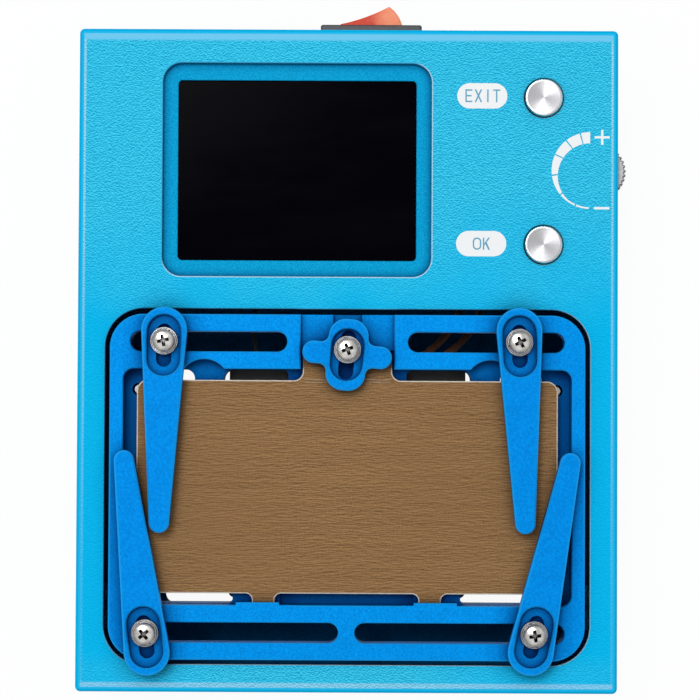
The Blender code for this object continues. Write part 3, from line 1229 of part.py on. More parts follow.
def build_switch(station):
    """The switch housing with its bezel, cavity and blades, and the rocker on its pivot."""
    wall = BACK_FACE + THIN_GAP
    half = BEZEL_WIDTH / 2
    bezel = slab_mesh([rounded(0, 0, BEZEL_WIDTH, BEZEL_HEIGHT, BEZEL_CORNER, 3)], 0.0,
                      BEZEL_FACE - wall, 0.3 * MM)
    upright = Matrix.Translation((SWITCH_X, wall, SWITCH_Z)) @ Matrix.Rotation(-math.pi / 2, 4, "X")
    bezel.transform(upright)
    housing = new_piece("switch_housing", bezel, BLACK_PLASTIC, station)
    back = INNER_Y - HOUSING_REACH
    half, tall = HOUSING_WIDTH / 2, HOUSING_HEIGHT / 2
    fuse(housing, block("housing_body", (SWITCH_X - half, back, SWITCH_Z - tall),
                        (SWITCH_X + half, wall + BITE, SWITCH_Z + tall), BLACK_PLASTIC, station))
    pivot_y = BEZEL_FACE - ROCKER_PIVOT_DEPTH
    tall = CAVITY_HEIGHT / 2
    cavity = block("cut_cavity", (SWITCH_X - CAVITY_HALF, pivot_y - CAVITY_BACK, SWITCH_Z - tall),
                   (SWITCH_X + CAVITY_HALF, BEZEL_FACE + OVERCUT, SWITCH_Z + tall), BLACK_PLASTIC, station)
    cut(housing, cavity)
    socket = rod("cut_pivot", PIVOT_RADIUS + SLIDE_GAP, CAVITY_HEIGHT + HOUSING_HEIGHT - CAVITY_HEIGHT,
                 BLACK_PLASTIC, station, (SWITCH_X, pivot_y, SWITCH_Z), steps=16)
    cut(housing, socket)
    wide, long, high = BLADE_SIZE
    for side in (-1, 1):
        x = SWITCH_X + side * BLADE_X
        fuse(housing, block(f"blade_{side}", (x - wide / 2, back - long, SWITCH_Z - high / 2),
                            (x + wide / 2, back + BITE, SWITCH_Z + high / 2), BLACK_PLASTIC, station))

    axis = new_empty("axis_rocker", (SWITCH_X, pivot_y, 0.0), station, ROCKER_TILT)
    right = arc(0, 0, ROCKER_RADIUS, 90 - ROCKER_REACH, 90 - ROCKER_SPREAD, 8)
    peak_x, peak_y = right[-1]
    dish = [
        (peak_x * share, peak_y - ROCKER_DISH * (1 - share**2))
        for share in (0.7, 0.4, 0.0, -0.4, -0.7)
    ]
    left = [(-x, y) for x, y in reversed(right)]
    stem = [(-ROCKER_STEM_HALF, -ROCKER_STEM), (ROCKER_STEM_HALF, -ROCKER_STEM)]
    tall = ROCKER_HEIGHT / 2
    rocker = slab("rocker", [right + dish + left + stem], SWITCH_Z - tall, SWITCH_Z + tall, ROCKER_RED,
                  axis)
    fuse(rocker, rod("rocker_pivot", PIVOT_RADIUS, HOUSING_HEIGHT - 2 * SLIDE_GAP, ROCKER_RED, axis,
                     (0.0, 0.0, SWITCH_Z), steps=16))


def build_jack(station):
    """The power socket, flush with the back wall and hung under the board."""
    z = jack_height()
    front = INNER_Y - SEAT_GAP
    half, tall = JACK_WIDTH / 2, JACK_HEIGHT / 2
    jack = block("power_socket", (JACK_X - half, front - JACK_LENGTH, z - tall),
                 (JACK_X + half, front, z + tall), BLACK_PLASTIC, station)
    barrel_start = front - BITE
    fuse(jack, rod("socket_barrel", JACK_BARREL_RADIUS, BACK_FACE - barrel_start, BLACK_PLASTIC, station,
                   (JACK_X, (BACK_FACE + barrel_start) / 2, z), "Y"))
    bore_start = BACK_FACE - JACK_BORE_DEPTH
    cut(jack, rod("cut_socket_bore", JACK_BORE_RADIUS, JACK_BORE_DEPTH + OVERCUT, BLACK_PLASTIC, station,
                  (JACK_X, bore_start + (JACK_BORE_DEPTH + OVERCUT) / 2, z), "Y"))
    pin_end = BACK_FACE - 1.0 * MM
    pin_start = bore_start - BITE
    fuse(jack, rod("socket_pin", JACK_PIN_RADIUS, pin_end - pin_start, BLACK_PLASTIC, station,
                   (JACK_X, (pin_end + pin_start) / 2, z), "Y", 12))


def build_wires(station):
    """The leads inside the case: heater, temperature probe and power."""
    under_carrier = CARRIER_TOP - CARRIER_THICKNESS
    run = under_carrier - WIRE_RUN_DROP
    hole_y = FRAME_Y + LEAD_HOLE_Y
    for side, label in ((-1, "inner"), (1, "outer")):
        x = LEAD_HOLE_X + side * LEAD_SPACING / 2
        end_x = TERMINAL_X + side * LEAD_SPACING / 2
        terminal_z = BOARD_BASE - TERMINAL_SIZE[2] / 2
        route = [
            (x, hole_y, CERAMIC_TOP - CERAMIC_THICKNESS - SEAT_GAP),
            (x, hole_y, CARRIER_TOP - CARRIER_THICKNESS / 2),
            (x, hole_y + WIRE_EXIT_LEAN, under_carrier - WIRE_EXIT_DROP),
            (x + WIRE_RUN_DROP, hole_y + 3 * WIRE_RUN_DROP, run),
            (end_x - WIRE_SWEEP, FRAME_Y + WELL_HALF_Y, run + WIRE_EXIT_LEAN / 2),
            (end_x - WIRE_SWEEP * 0.4, FRAME_Y + SLOT_LINE, run + WIRE_EXIT_LEAN),
            (end_x, BOARD_FRONT - WIRE_STRAIGHT, terminal_z),
            (end_x, BOARD_FRONT, terminal_z),
        ]
        wire(f"heater_lead_{label}", route, LEAD_RADIUS, SLEEVE_BROWN, station)

    x = SENSOR_HOLE_X
    socket_z = BOARD_BASE - SENSOR_SOCKET_SIZE[2] / 2
    route = [
        (x, hole_y, BLOCK_TOP - BLOCK_THICKNESS + SENSOR_DEPTH),
        (x, hole_y, CERAMIC_TOP - CERAMIC_THICKNESS / 2),
        (x, hole_y, CARRIER_TOP - CARRIER_THICKNESS / 2),
        (x, hole_y + WIRE_EXIT_LEAN, under_carrier - WIRE_EXIT_DROP),
        (x - WIRE_RUN_DROP, hole_y + 3 * WIRE_RUN_DROP, run),
        (SENSOR_SOCKET_X, FRAME_Y + SLOT_LINE, run),
        (SENSOR_SOCKET_X, BOARD_FRONT - WIRE_STRAIGHT, socket_z),
        (SENSOR_SOCKET_X, BOARD_FRONT, socket_z),
    ]
    wire("temperature_probe", route, SENSOR_LEAD_RADIUS, SLEEVE_BLACK, station)

    blade_end = INNER_Y - HOUSING_REACH - BLADE_SIZE[1] - SEAT_GAP
    jack_rear = INNER_Y - JACK_LENGTH - 2 * SEAT_GAP
    blade_x = SWITCH_X - BLADE_X
    span = blade_x - JACK_X
    route = [
        (JACK_X, jack_rear, jack_height()),
        (JACK_X, jack_rear - 2 * WIRE_STRAIGHT, jack_height() - WIRE_SAG / 4),
        (JACK_X + span / 3, blade_end - WIRE_SAG, jack_height() - WIRE_SAG / 2),
        (blade_x, blade_end - WIRE_SAG, SWITCH_Z - WIRE_SAG),
        (blade_x, blade_end - WIRE_STRAIGHT, SWITCH_Z),
        (blade_x, blade_end, SWITCH_Z),
    ]
    wire("power_lead_socket", route, LEAD_RADIUS, SLEEVE_BLACK, station)
    blade_x = SWITCH_X + BLADE_X
    transistor_back = COMPONENT_Y + TRANSISTOR_SIZE[1] / 2
    lead_z = BOARD_BASE - TRANSISTOR_SIZE[2] / 2
    route = [
        (blade_x, blade_end, SWITCH_Z),
        (blade_x, blade_end - WIRE_STRAIGHT, SWITCH_Z),
        (TRANSISTOR_X, (blade_end + transistor_back) / 2, lead_z - WIRE_STRAIGHT),
        (TRANSISTOR_X, transistor_back + WIRE_STRAIGHT, lead_z),
        (TRANSISTOR_X, transistor_back + SEAT_GAP, lead_z),
    ]
    wire("power_lead_board", route, LEAD_RADIUS, SLEEVE_BROWN, station)


def shade_round_pieces():
    """Smooth shading with sharp edges on every piece."""
    for piece in PARTS.objects:
        if piece.type == "MESH":
            piece.data.shade_smooth()
            piece.data.set_sharp_from_angle(angle=math.radians(30))


def main():
    """Builds the whole station round the empties of its case and its clamp frame."""
    station = new_empty("station", CASE_CENTRE)
    frame = new_empty("frame_centre", (0.0, FRAME_Y, 0.0), station)
    bpy.context.view_layer.update()
    build_case(station)
    build_floor(station)
    build_frame(frame)
    build_pillars(frame)
    build_mould_plate(frame)
    build_heater(frame)
    for values in ARMS:
        build_arm(frame, *values)
    build_centre_clamp(frame)
    build_display(station)
    build_board(station)
    build_buttons(station)
    build_wheel(station)
    build_switch(station)
    build_jack(station)
    build_wires(station)
    shade_round_pieces()


main()
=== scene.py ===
"""The looks of a small bench station that heats a phone circuit board from below.

Every class is one sub-assembly of the station. Lengths in the classes are in millimetres, measured
from the centre of the case on the table, with +Z up and +Y to the back. The workshop turns them into
metres in the shared frame when it sets a piece in its place.
"""

from __future__ import annotations

import json
import logging
import math
from dataclasses import dataclass
from enum import Enum
from typing import Iterable, Sequence

import bmesh
import bpy
from mathutils import Matrix, Vector
from mathutils.geometry import tessellate_polygon

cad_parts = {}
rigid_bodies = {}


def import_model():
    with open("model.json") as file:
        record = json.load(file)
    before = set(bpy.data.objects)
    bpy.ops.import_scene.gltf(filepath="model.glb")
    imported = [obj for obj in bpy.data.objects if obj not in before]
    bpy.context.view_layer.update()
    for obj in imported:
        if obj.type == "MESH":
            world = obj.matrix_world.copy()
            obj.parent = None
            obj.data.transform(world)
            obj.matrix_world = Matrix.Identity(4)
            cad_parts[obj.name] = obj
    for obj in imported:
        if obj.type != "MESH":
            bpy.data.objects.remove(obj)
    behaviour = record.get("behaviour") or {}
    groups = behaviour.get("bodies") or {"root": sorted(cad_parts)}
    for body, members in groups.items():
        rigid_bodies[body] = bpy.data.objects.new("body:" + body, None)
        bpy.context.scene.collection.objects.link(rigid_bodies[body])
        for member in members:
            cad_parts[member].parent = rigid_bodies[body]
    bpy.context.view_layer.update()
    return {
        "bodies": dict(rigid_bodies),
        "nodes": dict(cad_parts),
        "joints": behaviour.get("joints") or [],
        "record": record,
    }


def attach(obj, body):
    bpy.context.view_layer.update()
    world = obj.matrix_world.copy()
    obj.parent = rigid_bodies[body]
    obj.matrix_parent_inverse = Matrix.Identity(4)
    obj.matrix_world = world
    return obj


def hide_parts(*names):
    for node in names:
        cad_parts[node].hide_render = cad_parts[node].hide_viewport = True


LOG = logging.getLogger("station")
MM = 0.001
CASE_CENTRE = (-1.3, -3.09373, 0.0)
SHARP_ANGLE = 32.0
FLAT_AREA = 3.0
MILL_STEP = 0.05
OVERCUT = 1.0
STACK_GAP = 0.1
STUD_HOLE = 1.3
RIM_STEPS = 3
SLOT_STEPS = 14
FILLET_STEP = 9.0
CORNERS = (
    (-1, -1, "front_left"),
    (1, -1, "front_right"),
    (-1, 1, "rear_left"),
    (1, 1, "rear_right"),
)

Pair = tuple[float, float]
Triple = tuple[float, float, float]
Four = tuple[float, float, float, float]
Five = tuple[float, float, float, float, float]
Point = Pair
Loop = list[Point]
Corner = Triple
Level = Pair
Colour = Triple
Mesh = bpy.types.Mesh
Socket = bpy.types.NodeSocket


class Slot(Enum):
    """The record's material slots, one of which is named with each piece."""

    PAINT = "sky_paint"
    FACIA = "facia_blue"
    FRAME = "frame_blue_anodised"
    ARM = "arm_blue_anodised"
    BRONZE = "mould_bronze"
    STEEL = "steel"
    ALUMINIUM = "aluminium"
    CERAMIC = "ceramic"
    PLASTIC = "black_plastic"
    GLASS = "black_glass"
    RUBBER = "rubber"
    ROCKER = "rocker_red"
    BOARD = "board_green"
    BROWN_SLEEVE = "sleeve_brown"
    BLACK_SLEEVE = "sleeve_black"


class CarveKind(Enum):
    """What a carving tool does to the stock."""

    CUT = "DIFFERENCE"
    JOIN = "UNION"


def screen(red: float, green: float, blue: float) -> Colour:
    """The linear colour of a screen colour.

    Args:
        red: Red from 0 to 255.
        green: Green from 0 to 255.
        blue: Blue from 0 to 255.

    Returns:
        The colour as a shader takes it.
    """

    def linear(value: float) -> float:
        """One channel as light."""
        share = value / 255
        return share / 12.92 if share <= 0.04045 else ((share + 0.055) / 1.055) ** 2.4

    return linear(red), linear(green), linear(blue)


def arc(centre: Point, radius: float, start: float, end: float, steps: int) -> Loop:
    """Points along an arc, both ends included.

    Args:
        centre: Centre of the arc.
        radius: Radius of the arc.
        start: First angle in degrees.
        end: Last angle in degrees.
        steps: Number of straight steps.

    Returns:
        The points from start to end.
    """
    turns = [math.radians(start + (end - start) * step / steps) for step in range(steps + 1)]
    return [(centre[0] + radius * math.cos(a), centre[1] + radius * math.sin(a)) for a in turns]


def ring(centre: Point, radius: float, steps: int = 48) -> Loop:
    """A round loop."""
    return arc(centre, radius, 0, 360, steps)[:-1]


def rounded(centre: Point, width: float, depth: float, radius: float, steps: int = 8) -> Loop:
    """A rectangle with round corners.

    Args:
        centre: Middle of the rectangle.
        width: Size along X.
        depth: Size along Y.
        radius: Corner radius.
        steps: Steps in each corner.

    Returns:
        The loop, anticlockwise.
    """
    loop: Loop = []
    for side_x, side_y, start in ((1, 1, 0), (-1, 1, 90), (-1, -1, 180), (1, -1, 270)):
        corner = (
            centre[0] + side_x * (width / 2 - radius),
            centre[1] + side_y * (depth / 2 - radius),
        )
        loop += arc(corner, radius, start, start + 90, steps)
    return loop


def shifted(loop: Loop, x: float, y: float) -> Loop:
    """The loop moved aside."""
    return [(x + a, y + b) for a, b in loop]


def slot_along_x(start: float, end: float, y: float, half: float) -> Loop:
    """A slot along X whose round ends are centred at start and end."""
    low, high = min(start, end), max(start, end)
    return arc((high, y), half, -90, 90, SLOT_STEPS) + arc((low, y), half, 90, 270, SLOT_STEPS)


def slot_along_y(x: float, low: float, high: float, half: float, steps: int = SLOT_STEPS) -> Loop:
    """A slot along Y whose round ends are centred at low and high."""
    return arc((x, high), half, 0, 180, steps) + arc((x, low), half, 180, 360, steps)


def filleted(corners: Sequence[Corner]) -> Loop:
    """An outline through corners, each rounded by an arc that touches both of its sides.

    Args:
        corners: Each corner's place and fillet radius.

    Returns:
        The outline in the order of the corners.
    """
    outline: Loop = []
    for index, (x, y, radius) in enumerate(corners):
        corner = Vector((x, y))
        before = (Vector(corners[index - 1][:2]) - corner).normalized()
        after = (Vector(corners[(index + 1) % len(corners)][:2]) - corner).normalized()
        if radius <= 0.0:
            outline.append((x, y))
            continue
        half = before.angle(after) / 2
        centre = corner + (before + after).normalized() * radius / math.sin(half)
        start = corner + before * radius / math.tan(half) - centre
        end = corner + after * radius / math.tan(half) - centre
        first = math.atan2(start.y, start.x)
        sweep = math.atan2(start.cross(end), start.dot(end))
        steps = max(2, math.ceil(abs(math.degrees(sweep)) / FILLET_STEP))
        for step in range(steps + 1):
            angle = first + sweep * step / steps
            outline.append((centre.x + radius * math.cos(angle), centre.y + radius * math.sin(angle)))
    return outline


def mirrored(half: Sequence[Corner]) -> list[Corner]:
    """A closed list of corners from those on the +X side, which run from front to back."""
    return list(half) + [(-x, y, radius) for x, y, radius in reversed(half)]


def tidy_loop(loop: Loop) -> Loop:
    """The loop anticlockwise and without doubled points.

    Args:
        loop: A loop that may run either way.

    Returns:
        The loop that is left.
    """
    kept: Loop = []
    for point in loop:
        if not kept or math.dist(kept[-1], point) > 1e-4:
            kept.append(point)
    if math.dist(kept[0], kept[-1]) <= 1e-4:
        kept.pop()
    area = sum(a[0] * b[1] - b[0] * a[1] for a, b in zip(kept, kept[1:] + kept[:1]))
    return kept if area > 0 else kept[::-1]


def grown(loop: Loop, distance: float) -> Loop:
    """The loop with its sides moved outwards.

    Args:
        loop: An anticlockwise loop.
        distance: How far the sides move; less than nothing moves them in.

    Returns:
        A loop of as many points.
    """
    moved: Loop = []
    for index, point in enumerate(loop):
        here = Vector(point)
        before = (here - Vector(loop[index - 1])).normalized()
        after = (Vector(loop[(index + 1) % len(loop)]) - here).normalized()
        out_before, out_after = Vector((before.y, -before.x)), Vector((after.y, -after.x))
        share = 1.0 + max(-0.6, out_before.dot(out_after))
        moved.append(tuple(here + (out_before + out_after) * distance / share))
    return moved


def eased_rim(top: float, size: float) -> list[Level]:
    """Levels of a cutter that leaves a rounded rim round its opening.

    Args:
        top: Height of the surface that the cutter opens in.
        size: Radius of the rim.

    Returns:
        Levels from the foot of the rim upwards.
    """
    turns = [math.radians(90 * step / RIM_STEPS) for step in range(RIM_STEPS)]
    levels = [(top - size + size * math.sin(a), size - size * math.cos(a)) for a in turns]
    return levels + [(top + 0.02, size), (top + OVERCUT, size)]


def prism(loops: Sequence[Loop], levels: Sequence[Level]) -> Mesh:
    """A solid that rises through levels: the first loop is its outline and the rest are holes.

    Args:
        loops: The outline and the holes.
        levels: Heights from low to high, each with how far the solid grows there.

    Returns:
        A closed mesh.
    """
    shape = bmesh.new()
    walls: list[list[list[bmesh.types.BMVert]]] = []
    for number, raw in enumerate(loops):
        loop = tidy_loop(raw)
        sign = 1.0 if number == 0 else -1.0
        rings = [[shape.verts.new((x, y, z)) for x, y in grown(loop, sign * grow)] for z, grow in levels]
        walls.append(rings)
        for low, high in zip(rings, rings[1:]):
            for index in range(len(loop)):
                after = (index + 1) % len(loop)
                shape.faces.new((low[index], low[after], high[after], high[index]))
    for end in (0, -1):
        outlines = [rings[end] for rings in walls]
        if len(outlines) == 1:
            shape.faces.new(outlines[0])
            continue
        corners = [vertex for outline in outlines for vertex in outline]
        flat = [[Vector((vertex.co.x, vertex.co.y, 0.0)) for vertex in outline] for outline in outlines]
        for triangle in tessellate_polygon(flat):
            shape.faces.new([corners[index] for index in triangle])
    bmesh.ops.recalc_face_normals(shape, faces=shape.faces)
    return mesh_from(shape)


def plate_levels(low: float, high: float, edge: float, under: float | None = None) -> list[Level]:
    """Levels of a flat piece with chamfered edges, the lower ones of another size where given.

    Args:
        low: Height of the underside.
        high: Height of the top.
        edge: Size of the upper chamfer.
        under: Size of the lower one.

    Returns:
        The levels from low to high.
    """
    foot = edge if under is None else under
    levels = [(low, -foot), (low + foot, 0.0)] if foot > 0 else [(low, 0.0)]
    return levels + ([(high - edge, 0.0), (high, -edge)] if edge > 0 else [(high, 0.0)])


def box(low: Sequence[float], high: Sequence[float]) -> Mesh:
    """A block between two corners.

    Args:
        low: Its lowest corner.
        high: Its highest corner.

    Returns:
        A closed mesh.
    """
    shape = bmesh.new()
    bmesh.ops.create_cube(shape, size=1.0)
    size = [b - a for a, b in zip(low, high)]
    for vertex in shape.verts:
        vertex.co = Vector([a + (c + 0.5) * s for a, c, s in zip(low, vertex.co, size)])
    return mesh_from(shape)


def turned(profile: Sequence[Point], steps: int = 64, closed: bool = False) -> Mesh:
    """A turned solid.

    Args:
        profile: Radius and height of each point of its outer side.
        steps: Steps round the axis.
        closed: True if the profile is a loop beside the axis.

    Returns:
        A closed mesh about the Z axis.
    """
    shape = bmesh.new()
    rings: list[list[bmesh.types.BMVert]] = []
    for radius, height in profile:
        count = 1 if radius < 1e-6 else steps
        turns = [2 * math.pi * step / count for step in range(count)]
        rings.append([shape.verts.new((radius * math.cos(a), radius * math.sin(a), height)) for a in turns])
    for low, high in zip(rings, rings[1:] + (rings[:1] if closed else [])):
        for step in range(steps):
            below = [low[step % len(low)], low[(step + 1) % len(low)]]
            above = [high[(step + 1) % len(high)], high[step % len(high)]]
            face = list(dict.fromkeys(below + above))
            if len(face) > 2:
                shape.faces.new(face)
    bmesh.ops.recalc_face_normals(shape, faces=shape.faces)
    return mesh_from(shape)


def mesh_from(shape: bmesh.types.BMesh) -> Mesh:
    """A mesh of the shape, which is freed.

    Args:
        shape: What the mesh is made from.

    Returns:
        The mesh.
    """
    mesh = bpy.data.meshes.new("stock")
    shape.to_mesh(mesh)
    shape.free()
    return mesh


def together(*meshes: Mesh) -> Mesh:
    """One mesh of several that keep clear of each other.

    Args:
        meshes: The meshes, which are used up.

    Returns:
        The mesh.
    """
    shape = bmesh.new()
    for mesh in meshes:
        shape.from_mesh(mesh)
        bpy.data.meshes.remove(mesh)
    return mesh_from(shape)


def moved(
    mesh: Mesh, offset: Sequence[float] = (0.0, 0.0, 0.0), turn: float = 0.0, axis: str = "Z"
) -> Mesh:
    """The mesh turned about an axis by an angle in degrees, and then moved."""
    mesh.transform(Matrix.Translation(offset) @ Matrix.Rotation(math.radians(turn), 4, axis))
    return mesh


def in_scene(name: str, data: bpy.types.ID) -> bpy.types.Object:
    """A new object that shows the data, linked to the scene.

    Args:
        name: The object's name.
        data: Its mesh, lamp or camera.

    Returns:
        The object.
    """
    made = bpy.data.objects.new(name, data)
    bpy.context.scene.collection.objects.link(made)
    return made


def carved(stock: Mesh, tools: Iterable[tuple[CarveKind, Mesh]]) -> Mesh:
    """The stock after each tool has cut it or been joined to it.

    Args:
        stock: The mesh to start from.
        tools: What each tool does, and its mesh.

    Returns:
        The carved mesh.
    """
    holder = in_scene("stock", stock)
    used: list[bpy.types.Object] = []
    for kind, mesh in tools:
        tool = in_scene("tool", mesh)
        step = holder.modifiers.new("carve", "BOOLEAN")
        step.operation = kind.value
        step.solver = "EXACT"
        step.object = tool
        used.append(tool)
    graph = bpy.context.evaluated_depsgraph_get()
    result = bpy.data.meshes.new_from_object(holder.evaluated_get(graph))
    for old in [holder, *used]:
        old_mesh = old.data
        bpy.data.objects.remove(old, do_unlink=True)
        bpy.data.meshes.remove(old_mesh)
    return result


def cut_with(*meshes: Mesh) -> list[tuple[CarveKind, Mesh]]:
    """Tools that all cut."""
    return [(CarveKind.CUT, mesh) for mesh in meshes]


def join_with(*meshes: Mesh) -> list[tuple[CarveKind, Mesh]]:
    """Tools that are all joined on."""
    return [(CarveKind.JOIN, mesh) for mesh in meshes]


def shaded(mesh: Mesh) -> Mesh:
    """The mesh with its curves shaded smooth, and its edges and large flat faces crisp.

    Args:
        mesh: The mesh, which is changed.

    Returns:
        The same mesh.
    """
    mesh.set_sharp_from_angle(angle=math.radians(SHARP_ANGLE))
    for face in mesh.polygons:
        aligned = max(abs(value) for value in face.normal) > 0.99999
        face.use_smooth = not (aligned and face.area > FLAT_AREA)
    return mesh


class NodeBook:
    """Writes the nodes of one material."""

    def __init__(self, name: str) -> None:
        """Starts a material that has only its shader and its output.

        Args:
            name: The material's name.
        """
        self.material = bpy.data.materials.new(name)
        self.material.use_nodes = True
        self.tree = self.material.node_tree
        self.shader = self.tree.nodes["Principled BSDF"]

    def node(self, kind: str, inputs: dict | None = None, **settings: object) -> bpy.types.Node:
        """Adds a node.

        Args:
            kind: The node's type.
            inputs: A value or an output for each named or numbered input.
            settings: The node's own options.

        Returns:
            The node.
        """
        made = self.tree.nodes.new(kind)
        for key, value in settings.items():
            setattr(made, key, value)
        for key, value in (inputs or {}).items():
            self.feed(made.inputs[key], value)
        return made

    def feed(self, socket: Socket, value: object) -> None:
        """Links an output to the input, or sets the input to a value.

        Args:
            socket: The input.
            value: An output, a number or a colour.
        """
        if isinstance(value, Socket):
            self.tree.links.new(value, socket)
        elif isinstance(value, tuple) and len(value) == 3 and socket.type == "RGBA":
            socket.default_value = (*value, 1.0)
        else:
            socket.default_value = value

    def set(self, **values: object) -> None:
        """Feeds the shader's inputs, whose names are given with underscores."""
        for key, value in values.items():
            self.feed(self.shader.inputs[key.replace("_", " ")], value)

    def place(
        self, stretch: Sequence[float] = (1.0, 1.0, 1.0), shift: Sequence[float] = (0.0, 0.0, 0.0)
    ) -> Socket:
        """The place on the piece in millimetres, stretched along its axes and then shifted.

        Args:
            stretch: Factor along each axis.
            shift: What is added afterwards.

        Returns:
            The place.
        """
        here = self.node("ShaderNodeTexCoord").outputs["Object"]
        inputs = {"Vector": here, "Scale": [value / MM for value in stretch], "Location": list(shift)}
        return self.node("ShaderNodeMapping", inputs).outputs["Vector"]

    def noise(
        self, place: Socket, scale: float, detail: float = 2.0, rough: float = 0.5, twist: float = 0.0
    ) -> Socket:
        """Cloudy noise with that many features to the millimetre."""
        inputs = {"Vector": place, "Scale": scale, "Detail": detail, "Roughness": rough}
        return self.node("ShaderNodeTexNoise", {**inputs, "Distortion": twist}).outputs["Fac"]

    def painted_slope_light(self, stretch: Sequence[float], aside: float, swing: float) -> Socket:
        """Cloudy grain with painted light and shade, as light from the side shows it: by how steeply it
        rises along Y.

        Args:
            stretch: Features to the millimetre along each axis.
            aside: How far apart its two heights are taken.
            swing: The rise that counts as full.

        Returns:
            The grain's painted light and shade from 0 to 1.
        """
        heights = [self.noise(self.place(stretch, (0.0, y, 0.0)), 1.0, 0.0) for y in (aside, 0.0)]
        return self.span(self.minus(*heights), -swing, swing)

    def cells(self, place: Socket, scale: float) -> Socket:
        """Distances in a pattern of cells."""
        return self.node("ShaderNodeTexVoronoi", {"Vector": place, "Scale": scale}).outputs["Distance"]

    def span(
        self, value: Socket, low: float, high: float, to_low: float = 0.0, to_high: float = 1.0
    ) -> Socket:
        """The value's range from low to high turned into another range."""
        made = self.node("ShaderNodeMapRange", {0: value, 1: low, 2: high, 3: to_low, 4: to_high})
        return made.outputs[0]

    def maths(self, operation: str, first: object, second: object = 0.0) -> Socket:
        """The result of an arithmetic operation."""
        return self.node("ShaderNodeMath", {0: first, 1: second}, operation=operation).outputs[0]

    def plus(self, first: object, second: object) -> Socket:
        """Two values added."""
        return self.maths("ADD", first, second)

    def minus(self, first: object, second: object) -> Socket:
        """The first value less the second."""
        return self.maths("SUBTRACT", first, second)

    def times(self, first: object, second: object) -> Socket:
        """Two values multiplied."""
        return self.maths("MULTIPLY", first, second)

    def larger(self, first: object, second: object) -> Socket:
        """The larger of two values."""
        return self.maths("MAXIMUM", first, second)

    def unsigned(self, value: object) -> Socket:
        """The value without its sign."""
        return self.maths("ABSOLUTE", value)

    def blend(self, share: object, first: object, second: object) -> Socket:
        """A colour between two others.

        Args:
            share: 0 for the first and 1 for the second.
            first: The first colour.
            second: The second colour.

        Returns:
            The colour.
        """
        made = self.node("ShaderNodeMix", data_type="RGBA")
        for index, value in ((0, share), (6, first), (7, second)):
            self.feed(made.inputs[index], value)
        return made.outputs[2]

    def split(self, vector: Socket) -> tuple[Socket, ...]:
        """The vector's three parts."""
        return tuple(self.node("ShaderNodeSeparateXYZ", {0: vector}).outputs)

    def openness(self, reach: float, low: float, high: float) -> Socket:
        """How far the surface within that many millimetres lies open, 0 in a deep corner and 1 on a flat:
        the share that sets where shade is painted into the colour.

        Args:
            reach: How far it looks, in millimetres.
            low: What counts as a deep corner.
            high: What counts as a flat.

        Returns:
            The openness from 0 to 1.
        """
        made = self.node("ShaderNodeAmbientOcclusion", {"Distance": reach * MM}, samples=6)
        return self.span(made.outputs["AO"], low, high)

    def bump(self, height: Socket, depth: float) -> Socket:
        """The normal of a relief whose depth is in millimetres."""
        inputs = {"Height": height, "Distance": depth * MM, "Strength": 1.0}
        return self.node("ShaderNodeBump", inputs).outputs["Normal"]


@dataclass(frozen=True)
class Finish:
    """What every finish has: a name and a colour."""

    name: str
    colour: Colour

    def material(self) -> bpy.types.Material:
        """The finish's material, made the first time that it is asked for.

        Returns:
            The material.
        """
        made = bpy.data.materials.get(self.name)
        if made is None:
            book = NodeBook(self.name)
            self.write(book)
            book.material.diffuse_color = (*self.colour, 1.0)
            made = book.material
        return made

    def write(self, book: NodeBook) -> None:
        """Writes the nodes of the finish."""
        raise NotImplementedError

    def deep(self, share: float) -> Colour:
        """The painted shade colour for a deep corner, bluer as if blue light were passed on from wall to
        wall.
        """
        red, green, blue = self.colour
        return red * share, green * share, blue * share * 2.2

    def tint(self, factor: float, lift: float = 0.0) -> Colour:
        """The colour made lighter or darker."""
        red, green, blue = (min(1.0, value * factor + lift) for value in self.colour)
        return red, green, blue


